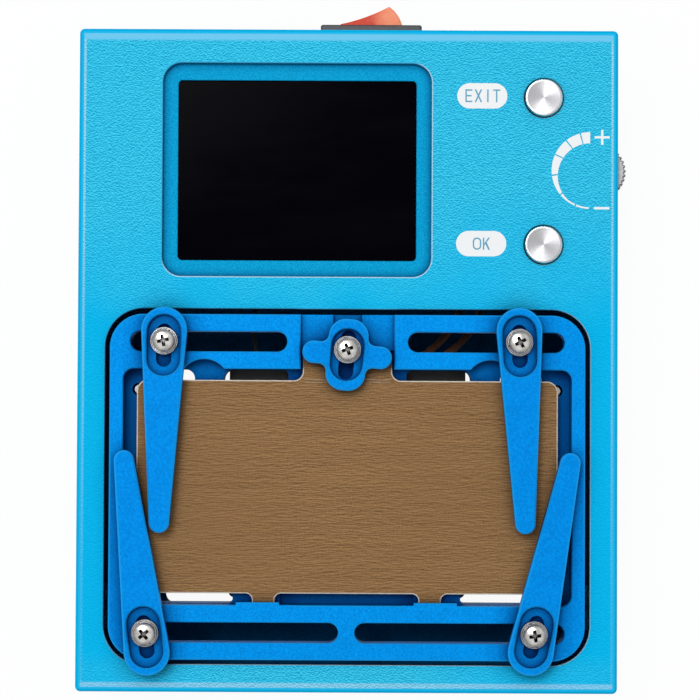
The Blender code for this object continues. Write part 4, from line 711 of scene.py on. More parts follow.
@dataclass(frozen=True)
class PowderCoat(Finish):
    """Baked powder paint with a leather grain, smooth where the sheet bends and painted lighter there as a
    highlight.

    The grain's crests are painted pale over the rear half and along the front edge, a painted sheen.
    """

    valley: Colour
    crest: Colour
    # Colours and places of the painted sheen on the grain's crests.
    painted_sheen_valley: Colour
    painted_sheen_crest: Colour
    # Colour of the painted highlight where the sheet starts to bend.
    bend: Colour
    rear_bend_highlight: Colour
    # Colour of the painted highlights inside the folds and along the rims of the openings.
    fold_highlight: Colour
    painted_sheen_rear: Pair = (2.0, 32.0)
    painted_sheen_front: Pair = (-61.0, -64.5)
    painted_sheen_across: Pair = (20.0, 42.0)
    painted_sheen_middle: float = -7.0
    painted_sheen_walls: float = 0.35
    highlight_x: float = 55.2
    highlight_y: float = -67.5
    highlight_fade: Pair = (-50.0, 60.0)
    rear_highlight_y: float = 67.2
    rim_z: float = 37.9
    rim_reach: Pair = (54.8, 67.2)
    roughness: float = 0.5
    relief: float = 0.05

    def write(self, book: NodeBook) -> None:
        """Writes the grain, the painted sheen on its crests, the painted highlights along the folds and
        rims, and the painted shade in the corners.

        Args:
            book: The material's nodes.
        """
        x, y, z = book.split(book.place())
        facing = book.split(book.node("ShaderNodeTexCoord").outputs["Normal"])
        sizes = [book.unsigned(part) for part in facing]
        flattest = book.larger(book.larger(sizes[0], sizes[1]), sizes[2])
        on_flat = book.span(flattest, 0.99, 0.9995)
        on_top = book.span(z, self.rim_z - 0.3, self.rim_z)
        height = self.grain(book)
        painted_sheen = self.painted_sheen(book, x, y, on_top)
        # Painted sheen: paler grain at the rear, along the front edge and a little on the walls.
        paint = book.blend(
            painted_sheen,
            book.blend(height, self.valley, self.crest),
            book.blend(height, self.painted_sheen_valley, self.painted_sheen_crest),
        )
        # Painted highlight: pale lines just inside the side and front folds.
        line = book.times(self.fold_highlights(book, x, y, height), on_top)
        # Painted highlight: a pale smooth band along the rear fold.
        rear_highlight = book.times(book.span(y, self.rear_highlight_y - 0.3, self.rear_highlight_y + 0.3), on_top)
        paint = book.blend(rear_highlight, book.blend(line, paint, self.fold_highlight), self.rear_bend_highlight)
        # Painted highlight along the start of each bend.
        bend_highlight = book.times(book.span(flattest, 0.9999, 0.995), book.span(flattest, 0.84, 0.93))
        skin = book.blend(on_flat, book.blend(bend_highlight, self.valley, self.bend), paint)
        # Painted highlight on the rounded rims of the openings, on the sides that face the lamp.
        reach_x, reach_y = self.rim_reach
        inside = book.times(self.within(book, x, reach_x), self.within(book, y, reach_y))
        above = book.span(z, self.rim_z, self.rim_z + 0.05)
        rounding = book.times(book.span(flattest, 0.998, 0.97), above)
        facing_lamp = book.larger(book.times(facing[0], -1.0), facing[1])
        painted_rim_highlight = book.span(facing_lamp, 0.05, 0.4, 0.1, 0.8)
        skin = book.blend(book.times(book.times(inside, rounding), painted_rim_highlight), skin, self.fold_highlight)
        relief = book.times(book.times(height, on_flat), book.minus(1.0, rear_highlight))
        # Painted shade: the paint turns nearly black in deep corners and gaps.
        book.set(
            Base_Color=book.blend(book.openness(6.0, 0.25, 0.9), self.tint(0.03), skin),
            Roughness=self.roughness,
            Normal=book.bump(relief, self.relief),
            Specular_IOR_Level=0.01,
        )

    def grain(self, book: NodeBook) -> Socket:
        """The height of the leather grain: creases from side to side, with a mottle of painted light and
        shade from its slope.

        Args:
            book: The material's nodes.

        Returns:
            The height from 0 to 1.
        """
        creases = book.span(book.noise(book.place((1.5, 3.6, 3.6)), 1.0, 1.0, 0.5, 0.8), 0.32, 0.68)
        # Painted light and shade: the mottle is the grain's slope along Y, as a side light shows it.
        mottle = book.painted_slope_light((2.4, 3.8, 3.8), 0.8, 0.2)
        return book.plus(book.times(creases, 0.25), book.times(mottle, 0.75))

    def painted_sheen(self, book: NodeBook, x: Socket, y: Socket, on_top: Socket) -> Socket:
        """How much painted sheen the crests take: at the rear, along the front edge and a little on the
        walls.

        Args:
            book: The material's nodes.
            x: Place from side to side.
            y: Place from front to back.
            on_top: 1 on the case's top and 0 on its walls.

        Returns:
            The painted sheen from 0 to 1.
        """
        clouds = book.span(book.noise(book.place(), 0.05, 2.0), 0.3, 0.7, -6.0, 6.0)
        rear = book.span(book.plus(y, clouds), *self.painted_sheen_rear)
        aside = book.unsigned(book.minus(x, self.painted_sheen_middle))
        front = book.times(book.span(y, *self.painted_sheen_front), book.span(aside, *self.painted_sheen_across, 1.0, 0.3))
        painted_sheen = book.span(book.times(book.larger(rear, front), on_top), 0.0, 1.0, 0.03, 0.97)
        return book.larger(painted_sheen, book.span(on_top, 0.0, 1.0, self.painted_sheen_walls, 0.0))

    def fold_highlights(self, book: NodeBook, x: Socket, y: Socket, height: Socket) -> Socket:
        """The painted highlights just inside the folds at the sides and the front.

        Args:
            book: The material's nodes.
            x: Place from side to side.
            y: Place from front to back.
            height: Height of the grain, whose crests take more of the painted highlight.

        Returns:
            The strength of the painted highlights.
        """
        at_side = book.span(book.unsigned(x), self.highlight_x - 0.1, self.highlight_x + 0.1)
        at_side = book.times(at_side, book.span(y, *self.highlight_fade, 0.1, 0.75))
        at_front = book.span(y, self.highlight_y + 0.1, self.highlight_y - 0.1, 0.0, 0.5)
        return book.times(book.larger(at_side, at_front), book.span(height, 0.0, 1.0, 0.4, 1.0))

    def within(self, book: NodeBook, along: Socket, reach: float) -> Socket:
        """1 nearer to the middle than the reach, and 0 beyond it."""
        return book.span(book.unsigned(along), reach, reach - 0.2)


@dataclass(frozen=True)
class SmoothPaint(Finish):
    """Thin satin paint on a flat sheet, with a fine orange peel and painted shade where walls stand close
    over it.
    """

    shade: Colour
    roughness: float = 0.42

    def write(self, book: NodeBook) -> None:
        """Writes the orange peel and the painted shade near walls.

        Args:
            book: The material's nodes.
        """
        peel = book.span(book.noise(book.place(), 4.0, 1.0), 0.34, 0.66)
        skin = book.blend(peel, self.shade, self.colour)
        # Painted shade: darker and bluer where walls stand close, as at the edge of the display's recess.
        book.set(
            Base_Color=book.blend(book.openness(2.0, 0.3, 0.95), self.deep(0.1), skin),
            Roughness=book.span(peel, 0.0, 1.0, self.roughness + 0.05, self.roughness - 0.04),
            Normal=book.bump(peel, 0.015),
            Specular_IOR_Level=0.01,
        )


@dataclass(frozen=True)
class Anodised(Finish):
    """Blasted and anodised aluminium: a dyed satin skin, with painted shade in corners and painted
    highlights along the chamfered edges.
    """

    shade: Colour
    # Colour of the painted highlight on the chamfers.
    edge: Colour
    grain: float = 2.4
    roughness: float = 0.42
    metal: float = 0.08
    painted_shade_reach: float = 5.0

    def write(self, book: NodeBook) -> None:
        """Writes the blasted grain, cloudy dye, sparse bright grains, painted highlights on the chamfers
        and painted shade in corners.

        Args:
            book: The material's nodes.
        """
        place = book.place()
        blast = book.span(book.noise(place, self.grain, 2.0, 0.55), 0.3, 0.7)
        dye = book.span(book.noise(place, 0.12, 3.0, 0.6), 0.3, 0.7)
        cloudy = book.plus(book.times(blast, 0.85), book.times(dye, 0.15))
        skin = book.blend(cloudy, self.shade, self.colour)
        bright = book.span(book.cells(place, 0.85), 0.06, 0.1, 0.5, 0.0)
        upward = book.unsigned(book.split(book.node("ShaderNodeTexCoord").outputs["Normal"])[2])
        # Painted highlight: the chamfers, between upright and flat, take the edge colour.
        chamfer = book.times(book.span(upward, 0.3, 0.5), book.span(upward, 0.95, 0.85))
        skin = book.blend(book.larger(bright, chamfer), skin, self.edge)
        # Painted shade: darker and bluer in corners.
        book.set(
            Base_Color=book.blend(book.openness(self.painted_shade_reach, 0.32, 1.0), self.deep(0.07), skin),
            Metallic=self.metal,
            Roughness=book.span(blast, 0.0, 1.0, self.roughness + 0.06, self.roughness - 0.06),
            Normal=book.bump(blast, 0.008),
            Specular_IOR_Level=0.01,
        )


@dataclass(frozen=True)
class BrushedBronze(Finish):
    """Brown plate brushed from side to side."""

    dark_line: Colour
    light_line: Colour

    def write(self, book: NodeBook) -> None:
        """Writes short fine scratches with painted light and shade from their slope, long faint ones, a
        drift of the tone across the plate and painted shade in corners.

        Args:
            book: The material's nodes.
        """
        # Painted light and shade: the short scratches are their grain's slope along Y.
        lines = book.painted_slope_light((0.5, 4.6, 4.6), 0.9, 0.22)
        specks = book.span(book.noise(book.place((2.6, 5.0, 5.0)), 1.0, 0.0), 0.3, 0.7)
        fine = book.plus(book.times(lines, 0.65), book.times(specks, 0.35))
        long = book.span(book.noise(book.place((0.05, 3.0, 3.0)), 1.0, 1.0, 0.6), 0.3, 0.7)
        drift = book.span(book.noise(book.place(), 0.035, 2.0), 0.35, 0.65)
        brushed = book.plus(book.times(fine, 0.8), book.times(long, 0.2))
        tone = book.blend(brushed, self.dark_line, self.light_line)
        skin = book.blend(book.times(drift, 0.3), tone, self.colour)
        # Painted shade beside and under what stands on the plate, such as the arms and the clamp.
        book.set(
            Base_Color=book.blend(book.openness(3.0, 0.25, 0.95), self.tint(0.12), skin),
            Metallic=0.15,
            Roughness=book.span(fine, 0.0, 1.0, 0.58, 0.46),
            Normal=book.bump(brushed, 0.006),
            Specular_IOR_Level=0.1,
        )


@dataclass(frozen=True)
class BareMetal(Finish):
    """Plain bare metal with a fine grain and faint smears, and painted shade in its recesses."""

    roughness: float = 0.25
    wear: float = 0.5
    metal: float = 1.0
    painted_shade_reach: float = 1.8

    def write(self, book: NodeBook) -> None:
        """Writes the grain, the smears and the painted shade in the recesses.

        Args:
            book: The material's nodes.
        """
        place = book.place()
        grain = book.noise(place, 4.0, 3.0, 0.6)
        smear = book.noise(place, 0.9, 2.0)
        skin = book.blend(book.span(smear, 0.35, 0.65), self.tint(1.0 - 0.3 * self.wear), self.tint(1.04))
        # Painted shade: nearly black in recesses such as the screws' crosses.
        book.set(
            Base_Color=book.blend(book.openness(self.painted_shade_reach, 0.25, 0.85), self.tint(0.06), skin),
            Metallic=self.metal,
            Roughness=book.span(grain, 0.3, 0.7, self.roughness - 0.04, self.roughness + 0.1 * self.wear),
            Normal=book.bump(grain, 0.006),
        )


@dataclass(frozen=True)
class SpunMetal(Finish):
    """Metal faced on a lathe: fine rings that spread the light into sectors."""

    roughness: float = 0.3

    def write(self, book: NodeBook) -> None:
        """Writes the tool's rings about the piece's own axis.

        Args:
            book: The material's nodes.
        """
        x, y, _ = book.split(book.place())
        radius = book.maths("SQRT", book.plus(book.times(x, x), book.times(y, y)))
        across = book.node("ShaderNodeCombineXYZ", {0: book.times(radius, 5.0)}).outputs[0]
        rings = book.span(book.noise(across, 1.0, 3.0, 0.6), 0.3, 0.7)
        tangent = book.node("ShaderNodeTangent", direction_type="RADIAL", axis="Z").outputs[0]
        book.set(
            Base_Color=book.blend(rings, self.tint(0.86), self.colour),
            Metallic=1.0,
            Roughness=self.roughness,
            Anisotropic=0.75,
            Tangent=tangent,
            Normal=book.bump(rings, 0.002),
        )


@dataclass(frozen=True)
class DarkGlass(Finish):
    """Black glass over a dark screen."""

    def write(self, book: NodeBook) -> None:
        """Writes faint smears in the polish.

        Args:
            book: The material's nodes.
        """
        smear = book.noise(book.place((0.03, 0.09, 0.09)), 1.0, 3.0, 0.6)
        book.set(
            Base_Color=book.blend(book.span(smear, 0.5, 0.75), self.colour, self.tint(1.3, 0.0003)),
            Roughness=book.span(smear, 0.35, 0.75, 0.07, 0.2),
            Specular_IOR_Level=0.006,
        )


@dataclass(frozen=True)
class Moulding(Finish):
    """Moulded plastic, rubber or ceramic with a fine matt grain."""

    roughness: float = 0.45
    grain: float = 3.0
    relief: float = 0.01

    def write(self, book: NodeBook) -> None:
        """Writes the mould's grain and a faint cloudiness.

        Args:
            book: The material's nodes.
        """
        place = book.place()
        grain = book.noise(place, self.grain, 3.0, 0.6)
        clouds = book.noise(place, 0.3, 2.0)
        book.set(
            Base_Color=book.blend(book.span(clouds, 0.3, 0.7), self.tint(0.92), self.tint(1.08)),
            Roughness=book.span(grain, 0.3, 0.7, self.roughness - 0.05, self.roughness + 0.07),
            Normal=book.bump(grain, self.relief),
        )


@dataclass(frozen=True)
class ClearRed(Finish):
    """Red plastic with the light that shines through it painted in: deep red at the side that is pushed
    down, a painted orange glow where it stands up.
    """

    dim_red: Colour
    glow_span: Pair = (-0.6, 3.2)

    def write(self, book: NodeBook) -> None:
        """Writes the painted glow along the rocker, from deep red to orange, and its faint clouds.

        Args:
            book: The material's nodes.
        """
        place = book.place()
        clouds = book.span(book.noise(place, 0.35, 2.0), 0.3, 0.7, -1.0, 1.0)
        along = book.plus(book.split(place)[0], clouds)
        # Painted light: the orange stands for light shining through the plastic.
        book.set(
            Base_Color=book.blend(book.span(along, *self.glow_span), self.dim_red, self.colour),
            Roughness=0.3,
            Specular_IOR_Level=0.12,
            Subsurface_Weight=0.15,
            Subsurface_Scale=0.001,
        )


@dataclass(frozen=True)
class Ink(Finish):
    """Screen-printed ink, a little uneven."""

    def write(self, book: NodeBook) -> None:
        """Writes the ink's mottle.

        Args:
            book: The material's nodes.
        """
        mottle = book.noise(book.place(), 3.0, 3.0, 0.6)
        book.set(
            Base_Color=book.blend(book.span(mottle, 0.35, 0.7), self.tint(0.95), self.tint(1.01)),
            Roughness=book.span(mottle, 0.3, 0.7, 0.5, 0.62),
            Normal=book.bump(mottle, 0.006),
        )


@dataclass(frozen=True)
class SolderMask(Finish):
    """A green board whose parts below it are black, and whose copper runs show through the green."""

    board_base: float = 26.4

    def write(self, book: NodeBook) -> None:
        """Writes the copper runs and pads, and the colours of the parts under the board.

        Args:
            book: The material's nodes.
        """
        place = book.place()
        runs = book.node(
            "ShaderNodeTexBrick",
            {"Vector": place, "Scale": 0.35, "Mortar Size": 0.09, "Color1": (0, 0, 0), "Color2": (0, 0, 0),
             "Mortar": (1.0, 1.0, 1.0)},
        ).outputs["Color"]
        pads = book.span(book.cells(place, 0.4), 0.16, 0.2, 1.0, 0.0)
        green = book.blend(runs, self.colour, self.tint(1.9, 0.02))
        green = book.blend(pads, green, screen(200, 190, 160))
        z = book.split(place)[2]
        on_board = book.span(z, self.board_base - 0.06, self.board_base - 0.02)
        patches = book.span(book.noise(place, 0.08, 0.0), 0.45, 0.5)
        parts = book.blend(patches, screen(28, 28, 30), screen(60, 62, 66))
        book.set(
            Base_Color=book.blend(on_board, parts, green),
            Roughness=book.span(on_board, 0.0, 1.0, 0.5, 0.32),
            Normal=book.bump(book.noise(place, 2.0, 2.0), 0.01),
        )


@dataclass(frozen=True)
class BraidedSleeve(Finish):
    """A woven sleeve over a wire."""

    def write(self, book: NodeBook) -> None:
        """Writes the crossing threads.

        Args:
            book: The material's nodes.
        """
        inputs = {"Vector": book.place(), "Scale": 1.7, "Distortion": 1.5}
        threads = book.node("ShaderNodeTexWave", inputs, bands_direction="DIAGONAL").outputs["Fac"]
        book.set(
            Base_Color=book.blend(threads, self.tint(0.65), self.tint(1.25)),
            Roughness=0.68,
            Normal=book.bump(threads, 0.05),
        )


class Finishes:
    """The station's finishes."""

    CASE = PowderCoat(
        "case_powder",
        screen(8, 180, 233),
        valley=screen(0, 175, 229),
        crest=screen(10, 190, 244),
        # The paler pair is the painted sheen on the grain's crests.
        painted_sheen_valley=screen(10, 148, 196),
        painted_sheen_crest=screen(72, 222, 255),
        # Painted highlights: the start of the bends, the rear fold's band, and the lines inside the folds
        # and along the rims.
        bend=screen(30, 184, 234),
        rear_bend_highlight=screen(112, 200, 238),
        fold_highlight=screen(196, 224, 240),
    )
    # The bottom plate's darker blue is a guessed colour and partly painted shade, for the dark inside of
    # the case seen through the slots.
    FLOOR = SmoothPaint("floor_paint", screen(6, 104, 160), shade=screen(4, 84, 134))
    FACIA = SmoothPaint("facia_paint", screen(16, 172, 224), shade=screen(3, 141, 194))
    # The last colour of each anodised finish is the painted highlight on its chamfers.
    FRAME = Anodised(
        "frame_anodised", screen(3, 157, 247), screen(2, 122, 202), screen(28, 160, 240), grain=3.2
    )
    ARM = Anodised("arm_anodised", screen(3, 148, 239), screen(2, 122, 206), screen(30, 160, 238))
    PLATE = BrushedBronze(
        "plate_brushed_bronze", screen(127, 94, 58), screen(94, 67, 38), screen(160, 123, 81)
    )
    # Partly painted highlight: the plate's sides, chamfers and scribed lines are bare metal, painted nearly
    # white so that they show as light lines.
    PLATE_EDGE = BareMetal("plate_edge_bright", screen(250, 236, 212), roughness=0.4, metal=0.1)
    STEEL = BareMetal("nickel_steel", screen(200, 198, 194), roughness=0.18, wear=1.0)
    DARK_STEEL = BareMetal("zinc_steel", screen(180, 180, 182), roughness=0.3, wear=0.8)
    BUTTON = SpunMetal("button_spun_steel", screen(174, 174, 177), roughness=0.34)
    WHEEL = BareMetal("wheel_alloy", screen(156, 158, 161), roughness=0.34)
    ALUMINIUM = BareMetal("sawn_aluminium", screen(205, 206, 208), roughness=0.42, wear=0.8)
    GLASS = DarkGlass("display_black_glass", (0.0009, 0.0007, 0.002))
    SWITCH = Moulding("switch_black", screen(44, 46, 50), roughness=0.42)
    # Painted glow: the orange is light through the rocker, the deep red its colour where little comes
    # through.
    ROCKER = ClearRed("rocker_clear_red", screen(252, 150, 112), dim_red=screen(214, 68, 44))
    PLASTIC = Moulding("plastic_matt_black", screen(20, 20, 22), roughness=0.5)
    RUBBER = Moulding("foot_rubber", screen(26, 26, 27), roughness=0.78, grain=5.0, relief=0.02)
    CERAMIC = Moulding("heater_ceramic", screen(236, 232, 222), roughness=0.6, grain=5.0)
    WHITE_INK = Ink("print_white", screen(238, 242, 244))
    BLUE_INK = Ink("print_blue", screen(84, 158, 190))
    BOARD = SolderMask("board_solder_mask", screen(14, 92, 50))
    BROWN_SLEEVE = BraidedSleeve("woven_brown", screen(96, 54, 28))
    BLACK_SLEEVE = BraidedSleeve("woven_black", screen(34, 34, 36))


class Workshop:
    """Holds the frame, and sets each piece in its place in it."""

    def __init__(self, frame: dict) -> None:
        """Notes which body carries each CAD node.
        """
        self.nodes: dict[str, bpy.types.Object] = frame["nodes"]
        bodies = frame["record"]["behaviour"]["bodies"]
        self.body_of = {node: body for body, members in bodies.items() for node in members}
        self.made: list[str] = []

    def add(
        self,
        name: str,
        mesh: Mesh,
        finishes: Sequence[Finish],
        slot: Slot,
        stands_for: Sequence[str] = (),
        body: str = "",
        at: Sequence[float] = (0.0, 0.0, 0.0),
        turn: float = 0.0,
    ) -> None:
        """Sets a piece in its place.

        Args:
            name: The piece's name.
            mesh: Its mesh in millimetres, about its own origin.
            finishes: A finish for each of the mesh's material numbers.
            slot: The record's slot for the piece; not used.
            stands_for: The CAD nodes that the piece replaces.
            body: The body that it rides on, where it replaces no node.
            at: Where its origin stands, from the centre of the case.
            turn: Its turn about Z in degrees.
        """
        numbers = [face.material_index for face in mesh.polygons]
        mesh.name = name
        mesh.transform(Matrix.Scale(MM, 4))
        mesh.materials.clear()
        for finish in finishes:
            mesh.materials.append(finish.material())
        mesh.polygons.foreach_set("material_index", numbers)
        made = in_scene(name, mesh)
        made.location = [(a + b) * MM for a, b in zip(CASE_CENTRE, at)]
        made.rotation_euler.z = math.radians(turn)
        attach(made, body or self.body_of[stands_for[0]])
        if stands_for:
            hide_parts(*stands_for)
        self.made.append(name)

    def dress(self, finish: Finish, *nodes: str) -> None:
        """Gives CAD nodes that stay a finish.

        Args:
            finish: The finish.
            nodes: Names of the nodes.
        """
        for node in nodes:
            mesh = self.nodes[node].data
            mesh.materials.clear()
            mesh.materials.append(finish.material())
            self.made.append(node)


@dataclass(frozen=True)
class CrossScrew:
    """A pan-head screw with a cross recess, and the split washer held under its head."""

    head_radius: float = 2.32
    head_height: float = 2.1
    crown: float = 0.5
    under_edge: Pair = (0.16, 0.18)
    shank_radius: float = 1.5
    point: float = 0.4
    washer_radius: float = 2.6
    washer_thickness: float = 0.8
    neck_radius: float = 1.65
    recess_reach: float = 1.3
    recess_half: float = 0.36
    recess_depth: float = 1.15
    recess_taper: float = 0.42
    washer_climb: float = 0.12
    washer_gap: float = 9.0

    def head(self, base: float, tip: float) -> Mesh:
        """The head, with its cross cut in, and its shank.

        Args:
            base: Height of the head's underside.
            tip: Height of the shank's end.

        Returns:
            The mesh about the screw's axis.
        """
        top = base + self.head_height
        turns = [math.radians(angle) for angle in (0, 15, 30, 45, 60, 72, 82, 90)]
        crown = [(self.head_radius * math.sin(a), top - self.crown * (1 - math.cos(a))) for a in turns]
        inset, rise = self.under_edge
        profile = [
            *crown,
            (self.head_radius, base + rise),
            (self.head_radius - inset, base),
            (self.shank_radius, base),
            (self.shank_radius, tip + self.point),
            (self.shank_radius - self.point, tip),
            (0.0, tip),
        ]
        return carved(turned(profile, 48), cut_with(self.cross(top)))

    def cross(self, top: float) -> Mesh:
        """The tapered cross that the driver's recess is cut with.

        Args:
            top: Height of the head's crown.

        Returns:
            A closed mesh.
        """
        reach, half = self.recess_reach, self.recess_half
        outline = [
            (half, -reach), (half, -half), (reach, -half), (reach, half), (half, half), (half, reach),
            (-half, reach), (-half, half), (-reach, half), (-reach, -half), (-half, -half), (-half, -reach),
        ]
        low = [(x * self.recess_taper, y * self.recess_taper) for x, y in outline]
        shape = bmesh.new()
        rings = []
        for loop, z in ((low, top - self.recess_depth), (outline, top + 0.02), (outline, top + OVERCUT)):
            rings.append([shape.verts.new((x, y, z)) for x, y in loop])
        for under, over in zip(rings, rings[1:]):
            for index in range(len(outline)):
                after = (index + 1) % len(outline)
                shape.faces.new((under[index], under[after], over[after], over[index]))
        shape.faces.new(rings[0][::-1])
        shape.faces.new(rings[-1])
        bmesh.ops.recalc_face_normals(shape, faces=shape.faces)
        return mesh_from(shape)

    def split_washer(self, base: float, gap_at: float) -> Mesh:
        """The split ring, a single turn that climbs a little.

        Args:
            base: Height of its seat.
            gap_at: Direction of its gap in degrees.

        Returns:
            The mesh about the screw's axis.
        """
        climb, steps, gap = self.washer_climb, 60, self.washer_gap
        thickness = self.washer_thickness - climb
        outer, inner, edge = self.washer_radius, self.neck_radius, 0.1
        shape = bmesh.new()
        rings = []
        for step in range(steps + 1):
            share = step / steps
            angle = math.radians(gap_at + gap / 2 + (360 - gap) * share)
            low = base + climb * share
            section = [
                (inner, low), (outer - edge, low), (outer, low + edge), (outer, low + thickness - edge),
                (outer - edge, low + thickness), (inner, low + thickness),
            ]
            across, along = math.cos(angle), math.sin(angle)
            rings.append([shape.verts.new((r * across, r * along, z)) for r, z in section])
        for before, after in zip(rings, rings[1:]):
            for index in range(len(before)):
                following = (index + 1) % len(before)
                shape.faces.new((before[index], before[following], after[following], after[index]))
        shape.faces.new(rings[0])
        shape.faces.new(rings[-1][::-1])
        bmesh.ops.recalc_face_normals(shape, faces=shape.faces)
        return mesh_from(shape)

    def assembled(self, seat: float, tip: float, gap_at: float, cross_turn: float) -> Mesh:
        """The screw with its split washer on a seat, its cross turned by an angle in degrees."""
        head = moved(self.head(seat + self.washer_thickness + STACK_GAP, tip), turn=cross_turn)
        return shaded(together(head, self.split_washer(seat, gap_at)))


@dataclass(frozen=True)
class RoundWasher:
    """A flat washer with broken edges."""

    radius: float = 2.9
    bore: float = 1.6
    thickness: float = 0.5
    edge: float = 0.09

    def mesh(self, base: float) -> Mesh:
        """The washer lying at a height.

        Args:
            base: Height of its underside.

        Returns:
            A closed mesh.
        """
        top, edge = base + self.thickness, self.edge
        profile = [
            (self.bore, base), (self.radius - edge, base), (self.radius, base + edge),
            (self.radius, top - edge), (self.radius - edge, top), (self.bore + edge, top),
            (self.bore, top - edge),
        ]
        return shaded(turned(profile, 64, closed=True))


@dataclass(frozen=True)
class Case:
    """The folded case, its bottom plate, its rubber feet and the screws that hold them together."""

    width: float = 113.4
    depth: float = 139.2
    height: float = 34.0
    base: float = 4.2
    sheet: float = 1.2
    bend: float = 1.1
    rim: float = 0.3
    opening: Four = (-26.5, 101.5, 74.2, 8.0)
    recess: Five = (-10.8, 39.95, 56.5, 44.9, 4.0)
    button_x: float = 41.0
    button_y: Pair = (55.3, 24.4)
    button_hole: float = 4.13
    wheel_slot: Four = (40.2, 5.876, 29.4, 34.8)
    switch: Four = (4.7, 24.4, 9.6, 6.9)
    jack: Triple = (-30.0, 20.6, 4.3)
    tab_y: float = 54.0
    tab_width: float = 10.0
    tab_reach: float = 8.0
    screw_x: float = 51.0
    screw_hole: float = 1.7
    stud: Five = (50.3, 14.5, 62.3, 2.0, 28.3)
    foot_x: float = 46.0
    foot_y: float = 62.0
    foot_radius: float = 5.0
    foot_height: float = 4.0
    window: Four = (-26.6, 80.4, 53.5, 2.0)
    pillar: Pair = (44.1, 20.35)
    vent: tuple[int, float, float, float, float] = (6, 7.5, 1.5, 15.5, 36.0)
    fold_gap: float = 0.3

    @property
    def top(self) -> float:
        """Height of the case's top."""
        return self.base + self.height

    def build(self, shop: Workshop) -> None:
        """Builds the case and what closes it from below.

        Args:
            shop: The workshop.
        """
        shop.add("case_folded", self.shell(), [Finishes.CASE], Slot.PAINT, ["top_shell"])
        shop.add("floor_plate", self.floor(), [Finishes.FLOOR], Slot.PAINT, ["bottom_plate"])
        for side_x, side_y, corner in CORNERS:
            foot = shaded(turned(self.foot_profile(), 64))
            place = (side_x * self.foot_x, side_y * self.foot_y, 0.0)
            shop.add(f"rubber_{corner}", foot, [Finishes.RUBBER], Slot.RUBBER, [f"foot_{corner}"], at=place)
            screw = self.cover_screw()
            place = (side_x * self.screw_x, side_y * self.tab_y, 0.0)
            shop.add(f"cover_cross_{corner}", screw, [Finishes.STEEL], Slot.STEEL,
                     [f"cover_screw_{corner}"], at=place)

    def shell(self) -> Mesh:
        """The folded sheet with all its openings, its screw tabs and the studs for the board.

        Returns:
            A closed mesh.
        """
        shape = bmesh.new()
        bmesh.ops.create_cube(shape, size=1.0)
        for vertex in shape.verts:
            x, y, z = vertex.co
            vertex.co = (x * self.width, y * self.depth, self.base + (z + 0.5) * self.height)
        folds = [edge for edge in shape.edges if max(end.co.z for end in edge.verts) > self.top - MILL_STEP]
        bmesh.ops.bevel(shape, geom=folds, offset=self.bend, segments=8, profile=0.5, affect="EDGES")
        inner_x, inner_y = self.width / 2 - self.sheet, self.depth / 2 - self.sheet
        hollow = box((-inner_x, -inner_y, self.base - OVERCUT), (inner_x, inner_y, self.top - self.sheet))
        tools = [*cut_with(hollow), *self.inner_parts(), *cut_with(*self.openings())]
        return shaded(carved(mesh_from(shape), tools))

    def openings(self) -> list[Mesh]:
        """Cutters for the openings in the top and the walls.

        Returns:
            The cutters.
        """
        under = self.top - self.sheet - OVERCUT
        middle, width, depth, corner = self.opening
        x, y, across, along, inner = self.recess
        levels = [(under, 0.0), *eased_rim(self.top, self.rim)]
        cutters = [
            prism([rounded((0.0, middle), width, depth, corner, 12)], levels),
            prism([rounded((x, y), across, along, inner, 10)], levels),
        ]
        for button_y in self.button_y:
            hole = ring((self.button_x, button_y), self.button_hole)
            cutters.append(prism([hole], [(under, 0.0), *eased_rim(self.top, 0.2)]))
        inner_x, inner_y = self.width / 2 - self.sheet, self.depth / 2 - self.sheet
        y, half, low, high = self.wheel_slot
        cutters.append(box((inner_x - OVERCUT, y - half, low), (inner_x + 3.0, y + half, high)))
        x, z, half, tall = self.switch
        cutters.append(box((x - half, inner_y - OVERCUT, z - tall), (x + half, inner_y + 3.0, z + tall)))
        x, z, radius = self.jack
        hole = prism([ring((0.0, 0.0), radius)], [(-OVERCUT, 0.0), (3.0, 0.0)])
        cutters.append(moved(hole, (x, inner_y, z), -90.0, "X"))
        return cutters

    def inner_parts(self) -> list[tuple[CarveKind, Mesh]]:
        """The tabs that take the cover screws and the studs that hold the board.

        Returns:
            What each part does to the sheet, and its mesh.
        """
        tools: list[tuple[CarveKind, Mesh]] = []
        inner_x = self.width / 2 - self.sheet
        tab_base = self.base + self.sheet + self.fold_gap
        stud_x, front, back, radius, stud_base = self.stud
        for side_x, side_y, _ in CORNERS:
            ends = sorted((side_x * (inner_x + self.sheet / 2), side_x * (inner_x - self.tab_reach)))
            middle, half = side_y * self.tab_y, self.tab_width / 2
            tab = box((ends[0], middle - half, tab_base), (ends[1], middle + half, tab_base + self.sheet))
            tools += join_with(tab)
            hole = ring((side_x * self.screw_x, middle), self.screw_hole, 24)
            tools += cut_with(prism([hole], [(tab_base - 1.0, 0.0), (tab_base + 3.0, 0.0)]))
            stud = ring((side_x * stud_x, back if side_y > 0 else front), radius, 24)
            levels = [(stud_base, 0.0), (self.top - self.sheet / 2, 0.0)]
            tools += join_with(prism([stud], levels))
        return tools

